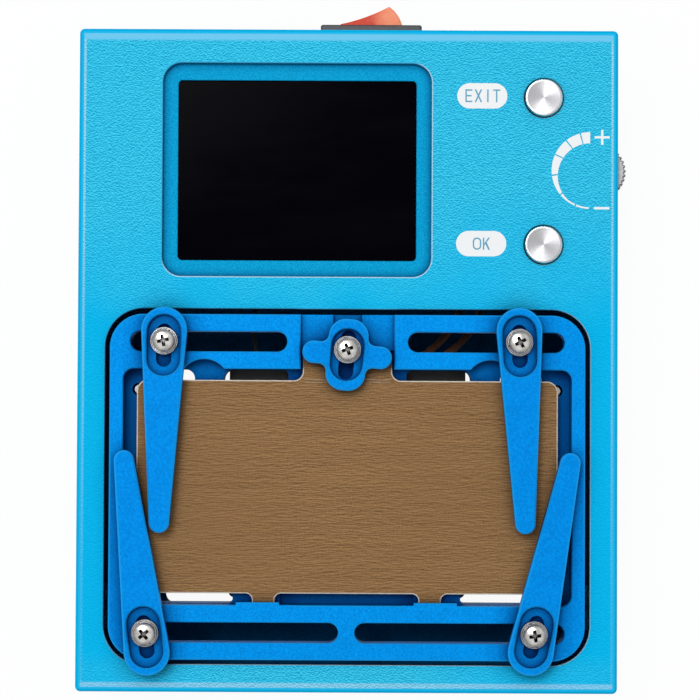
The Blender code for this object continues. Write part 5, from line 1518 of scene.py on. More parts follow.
    def floor(self) -> Mesh:
        """The bottom plate with its window, its vents and its holes.

        Returns:
            A closed mesh.
        """
        margin = 2 * (self.sheet + self.fold_gap)
        width, depth = self.width - margin, self.depth - margin
        middle, across, along, corner = self.window
        loops = [rounded((0.0, 0.0), width, depth, 1.6, 5), rounded((0.0, middle), across, along, corner)]
        for side_x, side_y, _ in CORNERS:
            loops.append(ring((side_x * self.screw_x, side_y * self.tab_y), self.screw_hole, 24))
            loops.append(ring((side_x * self.pillar[0], middle + side_y * self.pillar[1]), STUD_HOLE, 24))
        count, pitch, half, reach, y = self.vent
        for index in range(count):
            x = (index - (count - 1) / 2) * pitch
            loops.append(slot_along_y(x, y - reach, y + reach, half))
        return shaded(prism(loops, plate_levels(self.base, self.base + self.sheet, 0.15)))

    def foot_profile(self) -> list[Point]:
        """A stick-on rubber foot with a round lower edge.

        Returns:
            Its radius and height from the top down.
        """
        height, radius = self.foot_height, self.foot_radius
        round_off = arc((radius - 1.3, 0.9), 0.9, 0, -90, 6)
        dimple = [(1.6, 0.0), (1.2, 0.35), (0.0, 0.35)]
        return [(0.0, height), (radius, height), (radius, height * 0.5), *round_off, *dimple]

    def cover_screw(self) -> Mesh:
        """A cover screw, head down, about its own axis.

        Returns:
            A closed mesh.
        """
        screw = CrossScrew(head_radius=2.7, head_height=1.7, crown=0.5)
        under = self.base - 0.1
        mesh = screw.head(0.0, -6.0)
        return shaded(moved(mesh, (0.0, 0.0, under), 180.0, "X"))


@dataclass(frozen=True)
class ClampFrame:
    """The milled frame that holds the mould plate and carries the clamp arms, on its pillars."""

    middle: float = -26.6
    width: float = 99.4
    depth: float = 72.1
    corner: float = 7.0
    top: float = 39.8
    thickness: float = 10.0
    edge: float = 0.3
    fine_edge: float = 0.2
    well_edge: float = 0.22
    well_x: float = 46.9
    well_y: float = 24.65
    well_corner: float = 2.2
    ledge: float = 5.9
    ledge_drop: float = 5.5
    slot_width: float = 4.2
    slot_outer: float = 45.4
    slot_inner: Pair = (12.6, 1.7)
    slot_line: float = 30.35
    slot_lip: float = 5.0
    nut_channel: float = 6.4
    rest_drop: float = 3.9
    rest_reach: float = 7.9
    rest_half: Pair = (23.9, 12.4)
    lug_x: float = 29.05
    lug_width: float = 6.1
    pocket: Triple = (30.0, 21.25, 5.4)
    lip: Four = (11.9, 23.1, 0.6, 0.25)
    toe: Four = (17.4, 2.75, 26.9, 1.3)
    channel: Triple = (9.8, 1.6, 28.65)
    groove: Pair = (3.05, 2.6)
    relief: Pair = (14.05, 5.4)
    clamp_bore: Pair = (28.73, 1.6)
    carrier_bore: Pair = (20.65, 3.8)
    pillar: Pair = (44.1, 20.35)
    pillar_flats: float = 5.6
    stud_radius: float = 1.1
    pillar_ends: Four = (4.2, 5.7, 29.5, 33.2)

    def build(self, shop: Workshop) -> None:
        """Builds the frame and the pillars that it stands on.

        Args:
            shop: The workshop.
        """
        place = (0.0, self.middle, 0.0)
        shop.add("frame_milled", self.frame(), [Finishes.FRAME], Slot.FRAME, ["clamp_frame"], at=place)
        for side_x, side_y, corner in CORNERS:
            place = (side_x * self.pillar[0], self.middle + side_y * self.pillar[1], 0.0)
            shop.add(f"hex_pillar_{corner}", self.pillar_mesh(), [Finishes.DARK_STEEL], Slot.STEEL,
                     [f"pillar_{corner}"], at=place)

    def frame(self) -> Mesh:
        """The frame about its own centre.

        Returns:
            A closed mesh.
        """
        rest = self.well_y - self.rest_reach
        wide, narrow = self.rest_half
        lug_in, lug_out = self.lug_x - self.lug_width / 2, self.lug_x + self.lug_width / 2
        opening_x, opening_y = self.well_x - self.ledge, self.well_y - 2 * MILL_STEP
        opening = mirrored(
            [
                (wide, -rest, 1.0), (wide, -opening_y, 1.0), (opening_x, -opening_y, self.well_corner),
                (opening_x, opening_y, self.well_corner), (lug_out, opening_y, 2.0),
                (lug_out, rest, self.lug_width / 4), (lug_in, rest, self.lug_width / 4),
                (lug_in, opening_y, 2.0), (narrow, opening_y, 1.2), (narrow, rest, 1.2),
            ]
        )
        holes = [ring((x * self.pillar[0], y * self.pillar[1]), STUD_HOLE, 24) for x, y, _ in CORNERS]
        outline = rounded((0.0, 0.0), self.width, self.depth, self.corner, 14)
        base = self.top - self.thickness
        stock = prism([outline, filleted(opening), *holes], plate_levels(base, self.top, self.edge, 0.2))
        return shaded(carved(stock, cut_with(*self.pockets(), *self.slots(), *self.channels())))

    def flared(self, loop: Loop, low: float, edge: float) -> Mesh:
        """A cutter from a depth to over the top, which leaves a chamfer at the top.

        Args:
            loop: The opening.
            low: Height of its floor.
            edge: Size of the chamfer.

        Returns:
            The cutter.
        """
        rise = [(low, 0.0), (self.top - edge, 0.0), (self.top + 0.01, edge + 0.01)]
        return prism([loop], [*rise, (self.top + OVERCUT, edge + 0.01)])

    def pockets(self) -> list[Mesh]:
        """Cutters for the well, its ledges and its pockets.

        Returns:
            The cutters.
        """
        rest_top = self.top - self.rest_drop
        inner, outer, proud, soft = self.lip
        y = self.well_y
        well = mirrored(
            [
                (inner, -y, soft), (inner, -y + proud, soft), (outer, -y + proud, soft), (outer, -y, soft),
                (self.well_x, -y, self.well_corner), (self.well_x, y, self.well_corner),
            ]
        )
        cutters = [self.flared(filleted(well), rest_top, self.well_edge)]
        lug_out = self.lug_x + self.lug_width / 2
        ledge_x, ledge_y = self.well_x - MILL_STEP, y - MILL_STEP
        toe_x, toe_half, toe_end, toe_lid = self.toe
        for side in (-1, 1):
            ledge = [
                (side * (lug_out + 3.0), -ledge_y, 0.0), (side * ledge_x, -ledge_y, self.well_corner),
                (side * ledge_x, ledge_y, self.well_corner), (side * (lug_out + 3.0), ledge_y, 0.0),
            ]
            levels = [(self.top - self.ledge_drop, 0.0), (self.top - 1.0, 0.0)]
            cutters.append(prism([filleted(ledge)], levels))
            pocket_x, pocket_y, radius = self.pocket
            pocket = ring((side * pocket_x, pocket_y), radius, 72)
            cutters.append(self.flared(pocket, rest_top - MILL_STEP, self.well_edge))
            low = (side * toe_x - toe_half, -toe_end, rest_top - MILL_STEP)
            high = (side * toe_x + toe_half, -y + OVERCUT, self.top - toe_lid)
            cutters.append(box(low, high))
        return cutters

    def slots(self) -> list[Mesh]:
        """Cutters for the four long slots and the wider channels under them.

        Returns:
            The cutters.
        """
        cutters = []
        half, base = self.slot_width / 2, self.top - self.thickness
        for side in (-1, 1):
            for inner, y in zip(self.slot_inner, (self.slot_line, -self.slot_line)):
                start, end = side * (inner + half), side * (self.slot_outer - half)
                low = self.top - self.slot_lip
                slot = slot_along_x(start, end, y, half)
                cutters.append(self.flared(slot, low - OVERCUT, self.fine_edge))
                wide = slot_along_x(start, end, y, self.nut_channel / 2)
                cutters.append(prism([wide], [(base - OVERCUT, 0.0), (low, 0.0)]))
        return cutters

    def channels(self) -> list[Mesh]:
        """Cutters for the centre clamp's channel, the plate's seats and the tapped holes.

        Returns:
            The cutters.
        """
        rear = self.depth / 2 + OVERCUT
        rest = self.well_y - self.rest_reach
        half, drop, seat = self.channel
        over = self.top + OVERCUT
        front = self.well_y - OVERCUT
        channel = [(half, front), (half, rear), (-half, rear), (-half, front)]
        groove_half, groove_drop = self.groove
        relief_half, relief_drop = self.relief
        base = self.top - self.thickness
        bore_y, bore = self.clamp_bore
        carrier_y, carrier_depth = self.carrier_bore
        cutters = [
            self.flared(channel, self.top - drop, 0.25),
            box(
                (MILL_STEP - half, rest + OVERCUT, self.top - self.rest_drop - MILL_STEP),
                (half - MILL_STEP, seat, over),
            ),
            box((-groove_half, self.well_y + OVERCUT, self.top - groove_drop), (groove_half, rear, over)),
            box(
                (-relief_half, MILL_STEP - self.well_y, self.top - relief_drop),
                (relief_half, OVERCUT - rest, over),
            ),
            prism([ring((0.0, bore_y), bore, 32)], [(base + OVERCUT, 0.0), (self.top + 2.0, 0.0)]),
        ]
        for side in (-1, 1):
            hole = ring((0.0, side * carrier_y), bore, 24)
            cutters.append(prism([hole], [(base - OVERCUT, 0.0), (base + carrier_depth, 0.0)]))
        return cutters

    def pillar_mesh(self) -> Mesh:
        """A hexagon pillar with a stud at each end, about its own axis.

        Returns:
            A closed mesh.
        """
        stud_low, low, high, stud_high = self.pillar_ends
        hexagon = ring((0.0, 0.0), self.pillar_flats / math.sqrt(3), 6)
        body = prism([hexagon], plate_levels(low, high, 0.3))
        stud = prism([ring((0.0, 0.0), self.stud_radius, 24)], plate_levels(stud_low, stud_high, 0.2))
        return shaded(carved(body, join_with(stud)))


@dataclass(frozen=True)
class MouldPlate:
    """The brushed plate that carries the phone board over the heater."""

    middle: float = -26.6
    width: float = 88.2
    depth: float = 44.6
    top: float = 38.2
    thickness: float = 2.0
    corner: float = 2.3
    edge: float = 0.25
    tongue_half: float = 9.35
    tongue_reach: float = 28.35
    notch_half: float = 2.6
    notch_floor: float = 21.9
    toe: Triple = (17.4, 4.7, 4.3)
    scribe_y: Pair = (21.95, 22.5)
    scribe: Triple = (0.3, 0.035, 0.06)

    def build(self, shop: Workshop) -> None:
        """Builds the plate with its bright edges.

        Args:
            shop: The workshop.
        """
        place = (0.0, self.middle, 0.0)
        finishes = [Finishes.PLATE, Finishes.PLATE_EDGE]
        shop.add("plate_brushed", self.mesh(), finishes, Slot.BRONZE, ["mould_plate"], at=place)

    def mesh(self) -> Mesh:
        """The plate about its own centre, its sides and chamfers marked as bright.

        Returns:
            A closed mesh.
        """
        half_x, half_y = self.width / 2, self.depth / 2
        toe_x, toe_width, toe_reach = self.toe
        toe_in, toe_out, toe_end = toe_x - toe_width / 2, toe_x + toe_width / 2, -half_y - toe_reach
        outline = mirrored(
            [
                (toe_in, -half_y, 1.4), (toe_in, toe_end, toe_width / 8), (toe_out, toe_end, toe_width / 8),
                (toe_out, -half_y, 1.4), (half_x, -half_y, self.corner), (half_x, half_y, self.corner),
                (self.tongue_half, half_y, 1.9), (self.tongue_half, self.tongue_reach, 1.0),
                (self.notch_half, self.tongue_reach, 0.0), (self.notch_half, self.notch_floor, 0.0),
            ]
        )
        mesh = prism([filleted(outline)], plate_levels(self.top - self.thickness, self.top, self.edge))
        inset, half, deep = self.scribe
        left, right = -self.tongue_half + inset, self.tongue_half - inset
        scribes = [
            box((left, y - half, self.top - deep), (right, y + half, self.top + 0.5)) for y in self.scribe_y
        ]
        mesh = shaded(carved(mesh, cut_with(*scribes)))
        for face in mesh.polygons:
            scribed = self.top - 0.1 < face.center.z < self.top - 0.03
            face.material_index = 0 if abs(face.normal.z) > 0.95 and not scribed else 1
        return mesh


@dataclass(frozen=True)
class Fastening:
    """The screw and the flat washer that hold a clamp."""

    label: str
    tip: float
    cross_turn: float
    gap_at: float

    def build(self, shop: Workshop, axis: Corner, base: float) -> None:
        """Builds the washer in the clamp's recess and the screw on it.

        Args:
            shop: The workshop.
            axis: Where the screw's axis meets the table.
            base: Height of the washer's underside.
        """
        washer = RoundWasher()
        shop.add(f"washer_{self.label}_flat", washer.mesh(base), [Finishes.DARK_STEEL], Slot.STEEL,
                 [f"flat_washer_{self.label}"], at=axis)
        seat = base + (washer.thickness + STACK_GAP)
        screw = CrossScrew().assembled(seat, self.tip, self.gap_at, self.cross_turn)
        shop.add(f"screw_{self.label}_cross", screw, [Finishes.STEEL], Slot.STEEL,
                 [f"clamp_screw_{self.label}"], at=axis)


def sunk(stock: Mesh, recess: Loop, top: float, depth: float, edge: float) -> Mesh:
    """A clamp with a recess sunk into its top for the washer.

    Args:
        stock: The clamp without its recess.
        recess: The recess's outline.
        top: Height of the clamp's top.
        depth: Depth of the recess.
        edge: Size of the chamfer round it.

    Returns:
        The shaded mesh.
    """
    levels = [(top - depth, 0.0), (top - edge, 0.0), (top + OVERCUT, edge + OVERCUT)]
    return shaded(carved(stock, cut_with(prism([recess], levels))))


@dataclass(frozen=True)
class ClampArm:
    """A long clamp arm with its screw, its washer and its nut in the frame's slot."""

    corner: str
    screw_x: float
    bar: int
    lean: float
    offset: float
    cross_turn: float
    gap_at: float
    frame_middle: float = -26.6
    slot_line: float = 30.35
    frame_top: float = 39.8
    length: float = 40.1
    thickness: float = 3.0
    heel: float = 4.75
    tip: float = 2.1
    edge: float = 0.35
    slot_half: float = 1.6
    slot_span: Pair = (0.3, 6.1)
    recess_half: float = 3.5
    recess_depth: float = 1.5
    lift: float = 0.3
    under_edge: float = 0.2
    recess_edge: float = 0.25
    screw_tip: float = 31.3
    nut: Four = (5.5, 1.6, 32.1, 34.5)

    def build(self, shop: Workshop) -> None:
        """Builds the arm and what holds it.

        Args:
            shop: The workshop.
        """
        heading = self.lean if self.bar < 0 else 180.0 + self.lean
        turn = -heading if self.bar < 0 else heading
        axis = (self.screw_x, self.frame_middle + self.bar * self.slot_line, 0.0)
        angle = math.radians(turn)
        heel = (axis[0] + self.offset * math.sin(angle), axis[1] - self.offset * math.cos(angle), 0.0)
        shop.add(f"arm_{self.corner}_milled", self.arm(), [Finishes.ARM], Slot.ARM, [f"arm_{self.corner}"],
                 at=heel, turn=turn)
        washer_base = self.frame_top + self.lift + self.thickness - self.recess_depth + STACK_GAP
        Fastening(self.corner, self.screw_tip, self.cross_turn, self.gap_at).build(shop, axis, washer_base)
        shop.add(f"nut_{self.corner}_hex", self.nut_mesh(), [Finishes.DARK_STEEL], Slot.STEEL,
                 [f"slot_nut_{self.corner}"], at=axis)

    def nut_mesh(self) -> Mesh:
        """The hexagon nut about the screw's axis.

        Returns:
            A closed mesh.
        """
        flats, bore, low, high = self.nut
        loops = [ring((0.0, 0.0), flats / math.sqrt(3), 6), ring((0.0, 0.0), bore, 24)]
        return shaded(prism(loops, plate_levels(low, high, 0.25)))

    def outline(self) -> Loop:
        """The hull of the heel's and the tip's circles.

        Returns:
            The outline, anticlockwise.
        """
        lean = math.degrees(math.asin((self.heel - self.tip) / self.length))
        tip = arc((0.0, self.length), self.tip, lean, 180 - lean, 18)
        return tip + arc((0.0, 0.0), self.heel, 180 - lean, 360 + lean, 36)

    def arm(self) -> Mesh:
        """The arm about its heel, pointing along +Y.

        Returns:
            A closed mesh.
        """
        base = self.frame_top + self.lift
        top = base + self.thickness
        slot = slot_along_y(0.0, *self.slot_span, self.slot_half)
        stock = prism([self.outline(), slot], plate_levels(base, top, self.edge, self.under_edge))
        recess = slot_along_y(0.0, *self.slot_span, self.recess_half, 20)
        return sunk(stock, recess, top, self.recess_depth, self.recess_edge)


@dataclass(frozen=True)
class CentreClamp:
    """The short cross-shaped clamp that holds the mould plate's tongue down."""

    axis_y: float = -26.6 + 28.73
    turn: float = -5.0
    base: float = 38.5
    thickness: float = 3.0
    length: float = 14.95
    body: float = 4.15
    span: float = 18.7
    lobe: float = 2.35
    fillet: float = 1.5
    slot_reach: float = 3.55
    slot_half: float = 1.6
    recess_reach: float = 2.05
    recess_half: float = 3.4
    recess_depth: float = 1.5
    offset: float = 1.1
    edge: float = 0.35
    under_edge: float = 0.2
    recess_edge: float = 0.2
    fastening: Fastening = Fastening("centre", 32.2, 20.0, 150.0)

    def build(self, shop: Workshop) -> None:
        """Builds the clamp with its screw and washer.

        Args:
            shop: The workshop.
        """
        axis = (0.0, self.axis_y, 0.0)
        angle = math.radians(self.turn)
        place = (self.offset * math.sin(angle), self.axis_y - self.offset * math.cos(angle), 0.0)
        shop.add("centre_clamp_milled", self.mesh(), [Finishes.ARM], Slot.ARM, ["centre_clamp"], at=place,
                 turn=self.turn)
        washer_base = self.base + self.thickness - self.recess_depth + STACK_GAP
        self.fastening.build(shop, axis, washer_base)

    def mesh(self) -> Mesh:
        """The clamp about its own centre.

        Returns:
            A closed mesh.
        """
        half_length, half_span = self.length / 2, self.span / 2
        body, lobe = self.body, self.lobe
        outline = mirrored(
            [
                (body, -half_length, body * 0.86), (body, -lobe, self.fillet),
                (half_span, -lobe, lobe * 0.98), (half_span, lobe, lobe * 0.98),
                (body, lobe, self.fillet), (body, half_length, body * 0.86),
            ]
        )
        top = self.base + self.thickness
        slot = slot_along_y(0.0, -self.slot_reach, self.slot_reach, self.slot_half)
        levels = plate_levels(self.base, top, self.edge, self.under_edge)
        recess = slot_along_y(0.0, -self.recess_reach, self.recess_reach, self.recess_half, 20)
        stock = prism([filleted(outline), slot], levels)
        return sunk(stock, recess, top, self.recess_depth, self.recess_edge)


@dataclass(frozen=True)
class Display:
    """The painted facia behind the case's window and the black glass in it."""

    x: float = -10.8
    y: float = 39.9
    facia_width: float = 61.7
    facia_depth: float = 50.1
    facia_corner: float = 4.0
    facia_top: float = 36.7
    facia_thickness: float = 1.0
    glass_width: float = 50.2
    glass_depth: float = 38.0
    glass_corner: float = 0.9
    glass_top: float = 36.5
    glass_thickness: float = 1.1
    gap: float = 0.1
    edge: float = 0.12

    def build(self, shop: Workshop) -> None:
        """Builds the facia and the glass.

        Args:
            shop: The workshop.
        """
        place = (self.x, self.y, 0.0)
        outline = rounded((0.0, 0.0), self.facia_width, self.facia_depth, self.facia_corner)
        window = rounded((0.0, 0.0), self.glass_width, self.glass_depth, self.glass_corner)
        levels = plate_levels(self.facia_top - self.facia_thickness, self.facia_top, self.edge)
        facia = prism([outline, window], levels)
        shop.add("facia_painted", shaded(facia), [Finishes.FACIA], Slot.FACIA, ["display_facia"], at=place)
        width, depth = self.glass_width - 2 * self.gap, self.glass_depth - 2 * self.gap
        pane = rounded((0.0, 0.0), width, depth, self.glass_corner)
        levels = plate_levels(self.glass_top - self.glass_thickness, self.glass_top, self.edge)
        glass = prism([pane], levels)
        shop.add("glass_black", shaded(glass), [Finishes.GLASS], Slot.GLASS, ["display_glass"], at=place)
        shop.dress(Finishes.ALUMINIUM, "display_panel")


@dataclass(frozen=True)
class PushButton:
    """A metal push button, faced on a lathe, over its small switch."""

    label: str
    y: float
    x: float = 41.0
    radius: float = 4.0
    top: float = 39.1
    dish: float = 0.07
    rim: float = 0.35
    flange_radius: float = 5.2
    flange_top: float = 36.7
    flange: float = 0.8
    stem_radius: float = 1.8
    stem_end: float = 33.3

    def build(self, shop: Workshop) -> None:
        """Builds the button and dresses its switch.

        Args:
            shop: The workshop.
        """
        place = (self.x, self.y, 0.0)
        finishes = [Finishes.BUTTON, Finishes.STEEL]
        shop.add(f"{self.label}_button_spun", self.mesh(), finishes, Slot.STEEL,
                 [f"{self.label}_button"], at=place)
        shop.dress(Finishes.PLASTIC, f"tact_switch_{self.label}")

    def mesh(self) -> Mesh:
        """The button about its own axis, its rim and sides marked as polished.

        Returns:
            A closed mesh.
        """
        face = self.radius - self.rim
        shares = (0.0, 0.2, 0.4, 0.6, 0.8, 0.92)
        dish = [(face * share, self.top - self.dish * (1 - share**2)) for share in shares]
        flange_low = self.flange_top - self.flange
        profile = [
            *dish, (face, self.top), (face + 0.12, self.top - 0.02), (self.radius - 0.08, self.top - 0.22),
            (self.radius, self.top - 0.36), (self.radius, self.flange_top),
            (self.flange_radius, self.flange_top), (self.flange_radius, flange_low),
            (self.stem_radius, flange_low), (self.stem_radius, self.stem_end), (0.0, self.stem_end),
        ]
        mesh = shaded(turned(profile, 96))
        for polygon in mesh.polygons:
            centre = polygon.center
            on_face = centre.z > self.top - self.dish - 0.05 and math.hypot(centre.x, centre.y) < face
            polygon.material_index = 0 if on_face else 1
        return mesh


@dataclass(frozen=True)
class Thumbwheel:
    """The knurled wheel that stands out of the case's right wall, and its encoder."""

    x: float = 52.9
    y: float = 40.2
    radius: float = 5.8
    low: float = 30.1
    high: float = 34.1
    teeth: int = 36
    tooth: float = 0.35
    edge: float = 0.3
    bore: float = 1.5

    def build(self, shop: Workshop) -> None:
        """Builds the wheel and dresses the encoder.

        Args:
            shop: The workshop.
        """
        rim: Loop = []
        shares = ((0.0, 0.0), (0.12, 0.0), (0.38, 0.0), (0.5, 0.35), (0.66, 1.0), (0.84, 1.0))
        for index in range(self.teeth):
            for share, deep in shares:
                angle = 2 * math.pi * (index + share) / self.teeth
                radius = self.radius - deep * self.tooth
                rim.append((radius * math.cos(angle), radius * math.sin(angle)))
        loops = [rim, ring((0.0, 0.0), self.bore, 32)]
        wheel = shaded(prism(loops, plate_levels(self.low, self.high, self.edge)))
        place = (self.x, self.y, 0.0)
        shop.add("thumbwheel_knurled", wheel, [Finishes.WHEEL], Slot.STEEL, ["thumbwheel"], at=place)
        shop.dress(Finishes.PLASTIC, "encoder_base")


@dataclass(frozen=True)
class RockerSwitch:
    """The red rocker in its black housing in the back wall."""

    x: float = 4.7
    z: float = 24.4
    wall: float = 69.7
    face: float = 71.55
    bezel: Triple = (21.5, 15.0, 0.4)
    body: Triple = (9.4, 6.7, 57.4)
    cavity: Triple = (7.05, 5.8, 62.95)
    pivot_y: float = 70.15
    pivot_radius: float = 1.2
    radius: float = 6.8
    tall: float = 11.2
    spread: float = 54.0
    reach: float = 104.0
    tilt: float = 20.0
    dish: float = 0.4
    edge: float = 0.35
    pin_reach: float = 6.5
    stem: Pair = (2.8, 3.6)
    blade: Four = (3.6, 0.8, 6.0, 4.8)

    def build(self, shop: Workshop) -> None:
        """Builds the housing and the rocker.

        Args:
            shop: The workshop.
        """
        shop.add("switch_bezel", self.housing(), [Finishes.SWITCH], Slot.PLASTIC, ["switch_housing"],
                 at=(self.x, 0.0, self.z))
        shop.add("rocker_moulded", self.rocker(), [Finishes.ROCKER], Slot.ROCKER, ["rocker"],
                 at=(self.x, self.pivot_y, self.z))

    def housing(self) -> Mesh:
        """The bezel, the body with its cavity and the two blades, about the switch's centre line.

        Returns:
            A closed mesh.
        """
        width, height, corner = self.bezel
        outline = rounded((0.0, 0.0), width, height, corner, 5)
        frame = prism([outline], [(0.0, 0.0), (1.55, 0.0), (1.85, -0.3)])
        frame = moved(frame, (0.0, self.wall, 0.0), -90.0, "X")
        half, tall, back = self.body
        tools = join_with(box((-half, back, -tall), (half, self.wall + 0.5, tall)))
        half, tall, back = self.cavity
        tools += cut_with(box((-half, back, -tall), (half, self.face + OVERCUT, tall)))
        reach = self.pin_reach + 0.2
        pivot = ring((0.0, self.pivot_y), self.pivot_radius + 0.2, 32)
        tools += cut_with(prism([pivot], [(-reach, 0.0), (reach, 0.0)]))
        blade_x, wide, long, high = self.blade
        back = self.body[2]
        for side in (-1, 1):
            low = (side * blade_x - wide / 2, back - long, -high / 2)
            tools += join_with(box(low, (side * blade_x + wide / 2, back + 0.5, high / 2)))
        return shaded(carved(frame, tools))

    def rocker(self) -> Mesh:
        """The rocker about its pivot, with a dished face between two round shoulders.

        Returns:
            A closed mesh.
        """
        right = arc((0.0, 0.0), self.radius, 90 - self.reach, 90 - self.spread, 16)
        peak_x, peak_y = right[-1]
        shares = (0.82, 0.65, 0.45, 0.22, 0.0, -0.22, -0.45, -0.65, -0.82)
        face = [(peak_x * share, peak_y - self.dish * (1 - share**2)) for share in shares]
        left = [(-x, y) for x, y in reversed(right)]
        half, deep = self.stem
        outline = right + face + left + [(-half, -deep), (half, -deep)]
        body = prism([outline], plate_levels(-self.tall / 2, self.tall / 2, self.edge))
        levels = [(-self.pin_reach, 0.0), (self.pin_reach, 0.0)]
        pin = prism([ring((0.0, 0.0), self.pivot_radius, 32)], levels)
        return moved(shaded(carved(body, join_with(pin))), turn=self.tilt)


@dataclass(frozen=True)
class PowerSocket:
    """The round power socket in the back wall."""

    x: float = -30.0
    z: float = 20.6
    back: float = 69.6
    front: float = 68.1
    length: float = 12.0
    width: float = 9.0
    height: float = 11.0
    barrel: float = 4.1
    bore: float = 3.15
    bore_depth: float = 9.5
    pin: float = 1.0
    rim: float = 0.25

    def build(self, shop: Workshop) -> None:
        """Builds the socket with its pin.

        Args:
            shop: The workshop.
        """
        half, tall = self.width / 2, self.height / 2
        body = box((-half, self.front - self.length, -tall), (half, self.front, tall))
        levels = plate_levels(self.front - 0.5, self.back, self.rim, 0.0)
        barrel = prism([ring((0.0, 0.0), self.barrel)], levels)
        bore_floor = self.back - self.bore_depth
        bore = prism([ring((0.0, 0.0), self.bore)], [(bore_floor, 0.0), *eased_rim(self.back, self.rim)])
        pin_low, pin_high = bore_floor - 0.5, self.back - 1.0
        pin = prism([ring((0.0, 0.0), self.pin, 32)], plate_levels(pin_low, pin_high, 0.3, 0.0))
        barrel, bore, pin = (moved(piece, turn=-90.0, axis="X") for piece in (barrel, bore, pin))
        tools = [*join_with(barrel), *cut_with(bore), *join_with(pin)]
        mesh = shaded(carved(body, tools))
        for face in mesh.polygons:
            in_bore = math.hypot(face.center.x, face.center.z) < self.pin + 0.05
            face.material_index = 1 if in_bore and face.center.y > bore_floor + 0.01 else 0
        shop.add("socket_round", mesh, [Finishes.PLASTIC, Finishes.STEEL], Slot.PLASTIC, ["power_socket"],
                 at=(self.x, 0.0, self.z))


@dataclass(frozen=True)
class Printing:
    """The white print on the case: the two labels, the thumbwheel's scale and its signs."""

    top: float = 38.2
    film: float = 0.03
    label: Pair = (10.55, 5.35)
    exit_place: Point = (28.04, 55.67)
    ok_place: Point = (27.91, 24.57)
    stroke: float = 0.29
    scale_centre: Point = (50.73, 40.05)
    scale_radius: float = 8.085
    inner_centre: Point = (50.87, 38.87)
    inner_radius: float = 6.93
    scale_stops: tuple[float, ...] = (90.0, 105.0, 128.7, 155.5, 187.4, 219.2, 247.1, 268.0)
    scale_gap: float = 0.3
    plus: Four = (53.26, 47.05, 3.15, 0.5)
    minus: Four = (53.18, 32.14, 3.25, 0.5)

    def build(self, shop: Workshop) -> None:
        """Prints the labels and the scale.

        Args:
            shop: The workshop.
        """
        for name, place, glyphs in (
            ("exit", self.exit_place, self.exit_glyphs()),
            ("ok", self.ok_place, self.ok_glyphs()),
        ):
            width, height = self.label
            plate = self.film_of([rounded((0.0, 0.0), width, height, height / 2 - 0.01, 20)])
            at = (*place, 0.0)
            shop.add(f"print_{name}_label", plate, [Finishes.WHITE_INK], Slot.PAINT, body="chassis", at=at)
            letters = together(*[self.film_of(loops, 1) for loops in glyphs])
            shop.add(f"print_{name}_letters", letters, [Finishes.BLUE_INK], Slot.PAINT,
                     body="chassis", at=at)
        shop.add("print_scale", together(*self.scale()), [Finishes.WHITE_INK], Slot.PAINT, body="chassis")

    def film_of(self, loops: Sequence[Loop], layer: int = 0) -> Mesh:
        """A thin film of ink, on the paint or on a lower film."""
        low = self.top - 0.02 + layer * self.film
        return prism(loops, [(low, 0.0), (self.top + (layer + 1) * self.film, 0.0)])

    def exit_glyphs(self) -> list[list[Loop]]:
        """The four letters of the upper label.

        Returns:
            The loops of each letter.
        """
        low, tall = -1.33, 2.69
        return [
            [shifted(self.letter_e(1.47, tall), -3.55, low)],
            [shifted(self.letter_x(1.6, tall), -1.62, low)],
            [shifted([(0.0, 0.0), (self.stroke, 0.0), (self.stroke, tall), (0.0, tall)], 1.03, low)],
            [shifted(self.letter_t(1.47, tall), 2.29, low)],
        ]

    def ok_glyphs(self) -> list[list[Loop]]:
        """The two letters of the lower label.

        Returns:
            The loops of each letter.
        """
        low, tall = -1.28, 2.56
        left, width = -1.76, 1.78
        centre = (left + width / 2, low + tall / 2)
        outer = rounded(centre, width, tall, width * 0.48, 10)
        width, tall_inside = width - 2 * self.stroke, tall - 2 * self.stroke
        inner = rounded(centre, width, tall_inside, width * 0.47, 10)
        return [[outer, inner], [shifted(self.letter_k(1.49, tall), 0.36, low)]]

    def letter_e(self, w: float, h: float) -> Loop:
        """The outline of an E of that width and height.

        Args:
            w: Its width.
            h: Its height.

        Returns:
            The outline from its lower left corner.
        """
        s, mid, short = self.stroke, h / 2, w * 0.88
        return [
            (0, 0), (w, 0), (w, s), (s, s), (s, mid - s / 2), (short, mid - s / 2), (short, mid + s / 2),
            (s, mid + s / 2), (s, h - s), (w, h - s), (w, h), (0, h),
        ]

    def letter_t(self, w: float, h: float) -> Loop:
        """The outline of a T of that width and height.

        Args:
            w: Its width.
            h: Its height.

        Returns:
            The outline from its foot.
        """
        s, left = self.stroke, (w - self.stroke) / 2
        foot = [(left, 0), (left + s, 0), (left + s, h - s)]
        return [*foot, (w, h - s), (w, h), (0, h), (0, h - s), (left, h - s)]

    def letter_x(self, w: float, h: float) -> Loop:
        """The outline of an X of that width and height.

        Args:
            w: Its width.
            h: Its height.

        Returns:
            The outline from its lower left corner.
        """
        t = self.stroke * 1.16
        notch = h * (w - 2 * t) / (2 * (w - t))
        return [
            (0, 0), (t, 0), (w / 2, notch), (w - t, 0), (w, 0), ((w + t) / 2, h / 2), (w, h), (w - t, h),
            (w / 2, h - notch), (t, h), (0, h), ((w - t) / 2, h / 2),
        ]

    def letter_k(self, w: float, h: float) -> Loop:
        """The outline of a K of that width and height.

        Args:
            w: Its width.
            h: Its height.

        Returns:
            The outline from its lower left corner.
        """
        s, t = self.stroke, self.stroke * 1.3
        foot, reach = 0.33, w - s

        def on_leg(share: float) -> Point:
            """A point on the lower side of the rising leg."""
            return s + share * reach, h * (foot + share * (1 - foot))

        return [
            (0, 0), (s, 0), (s, foot * h), on_leg(0.2), (w - t, 0), (w, 0), on_leg(0.42), (w, h),
            (w - t, h), (s, h * (foot + 0.17)), (s, h), (0, h),
        ]

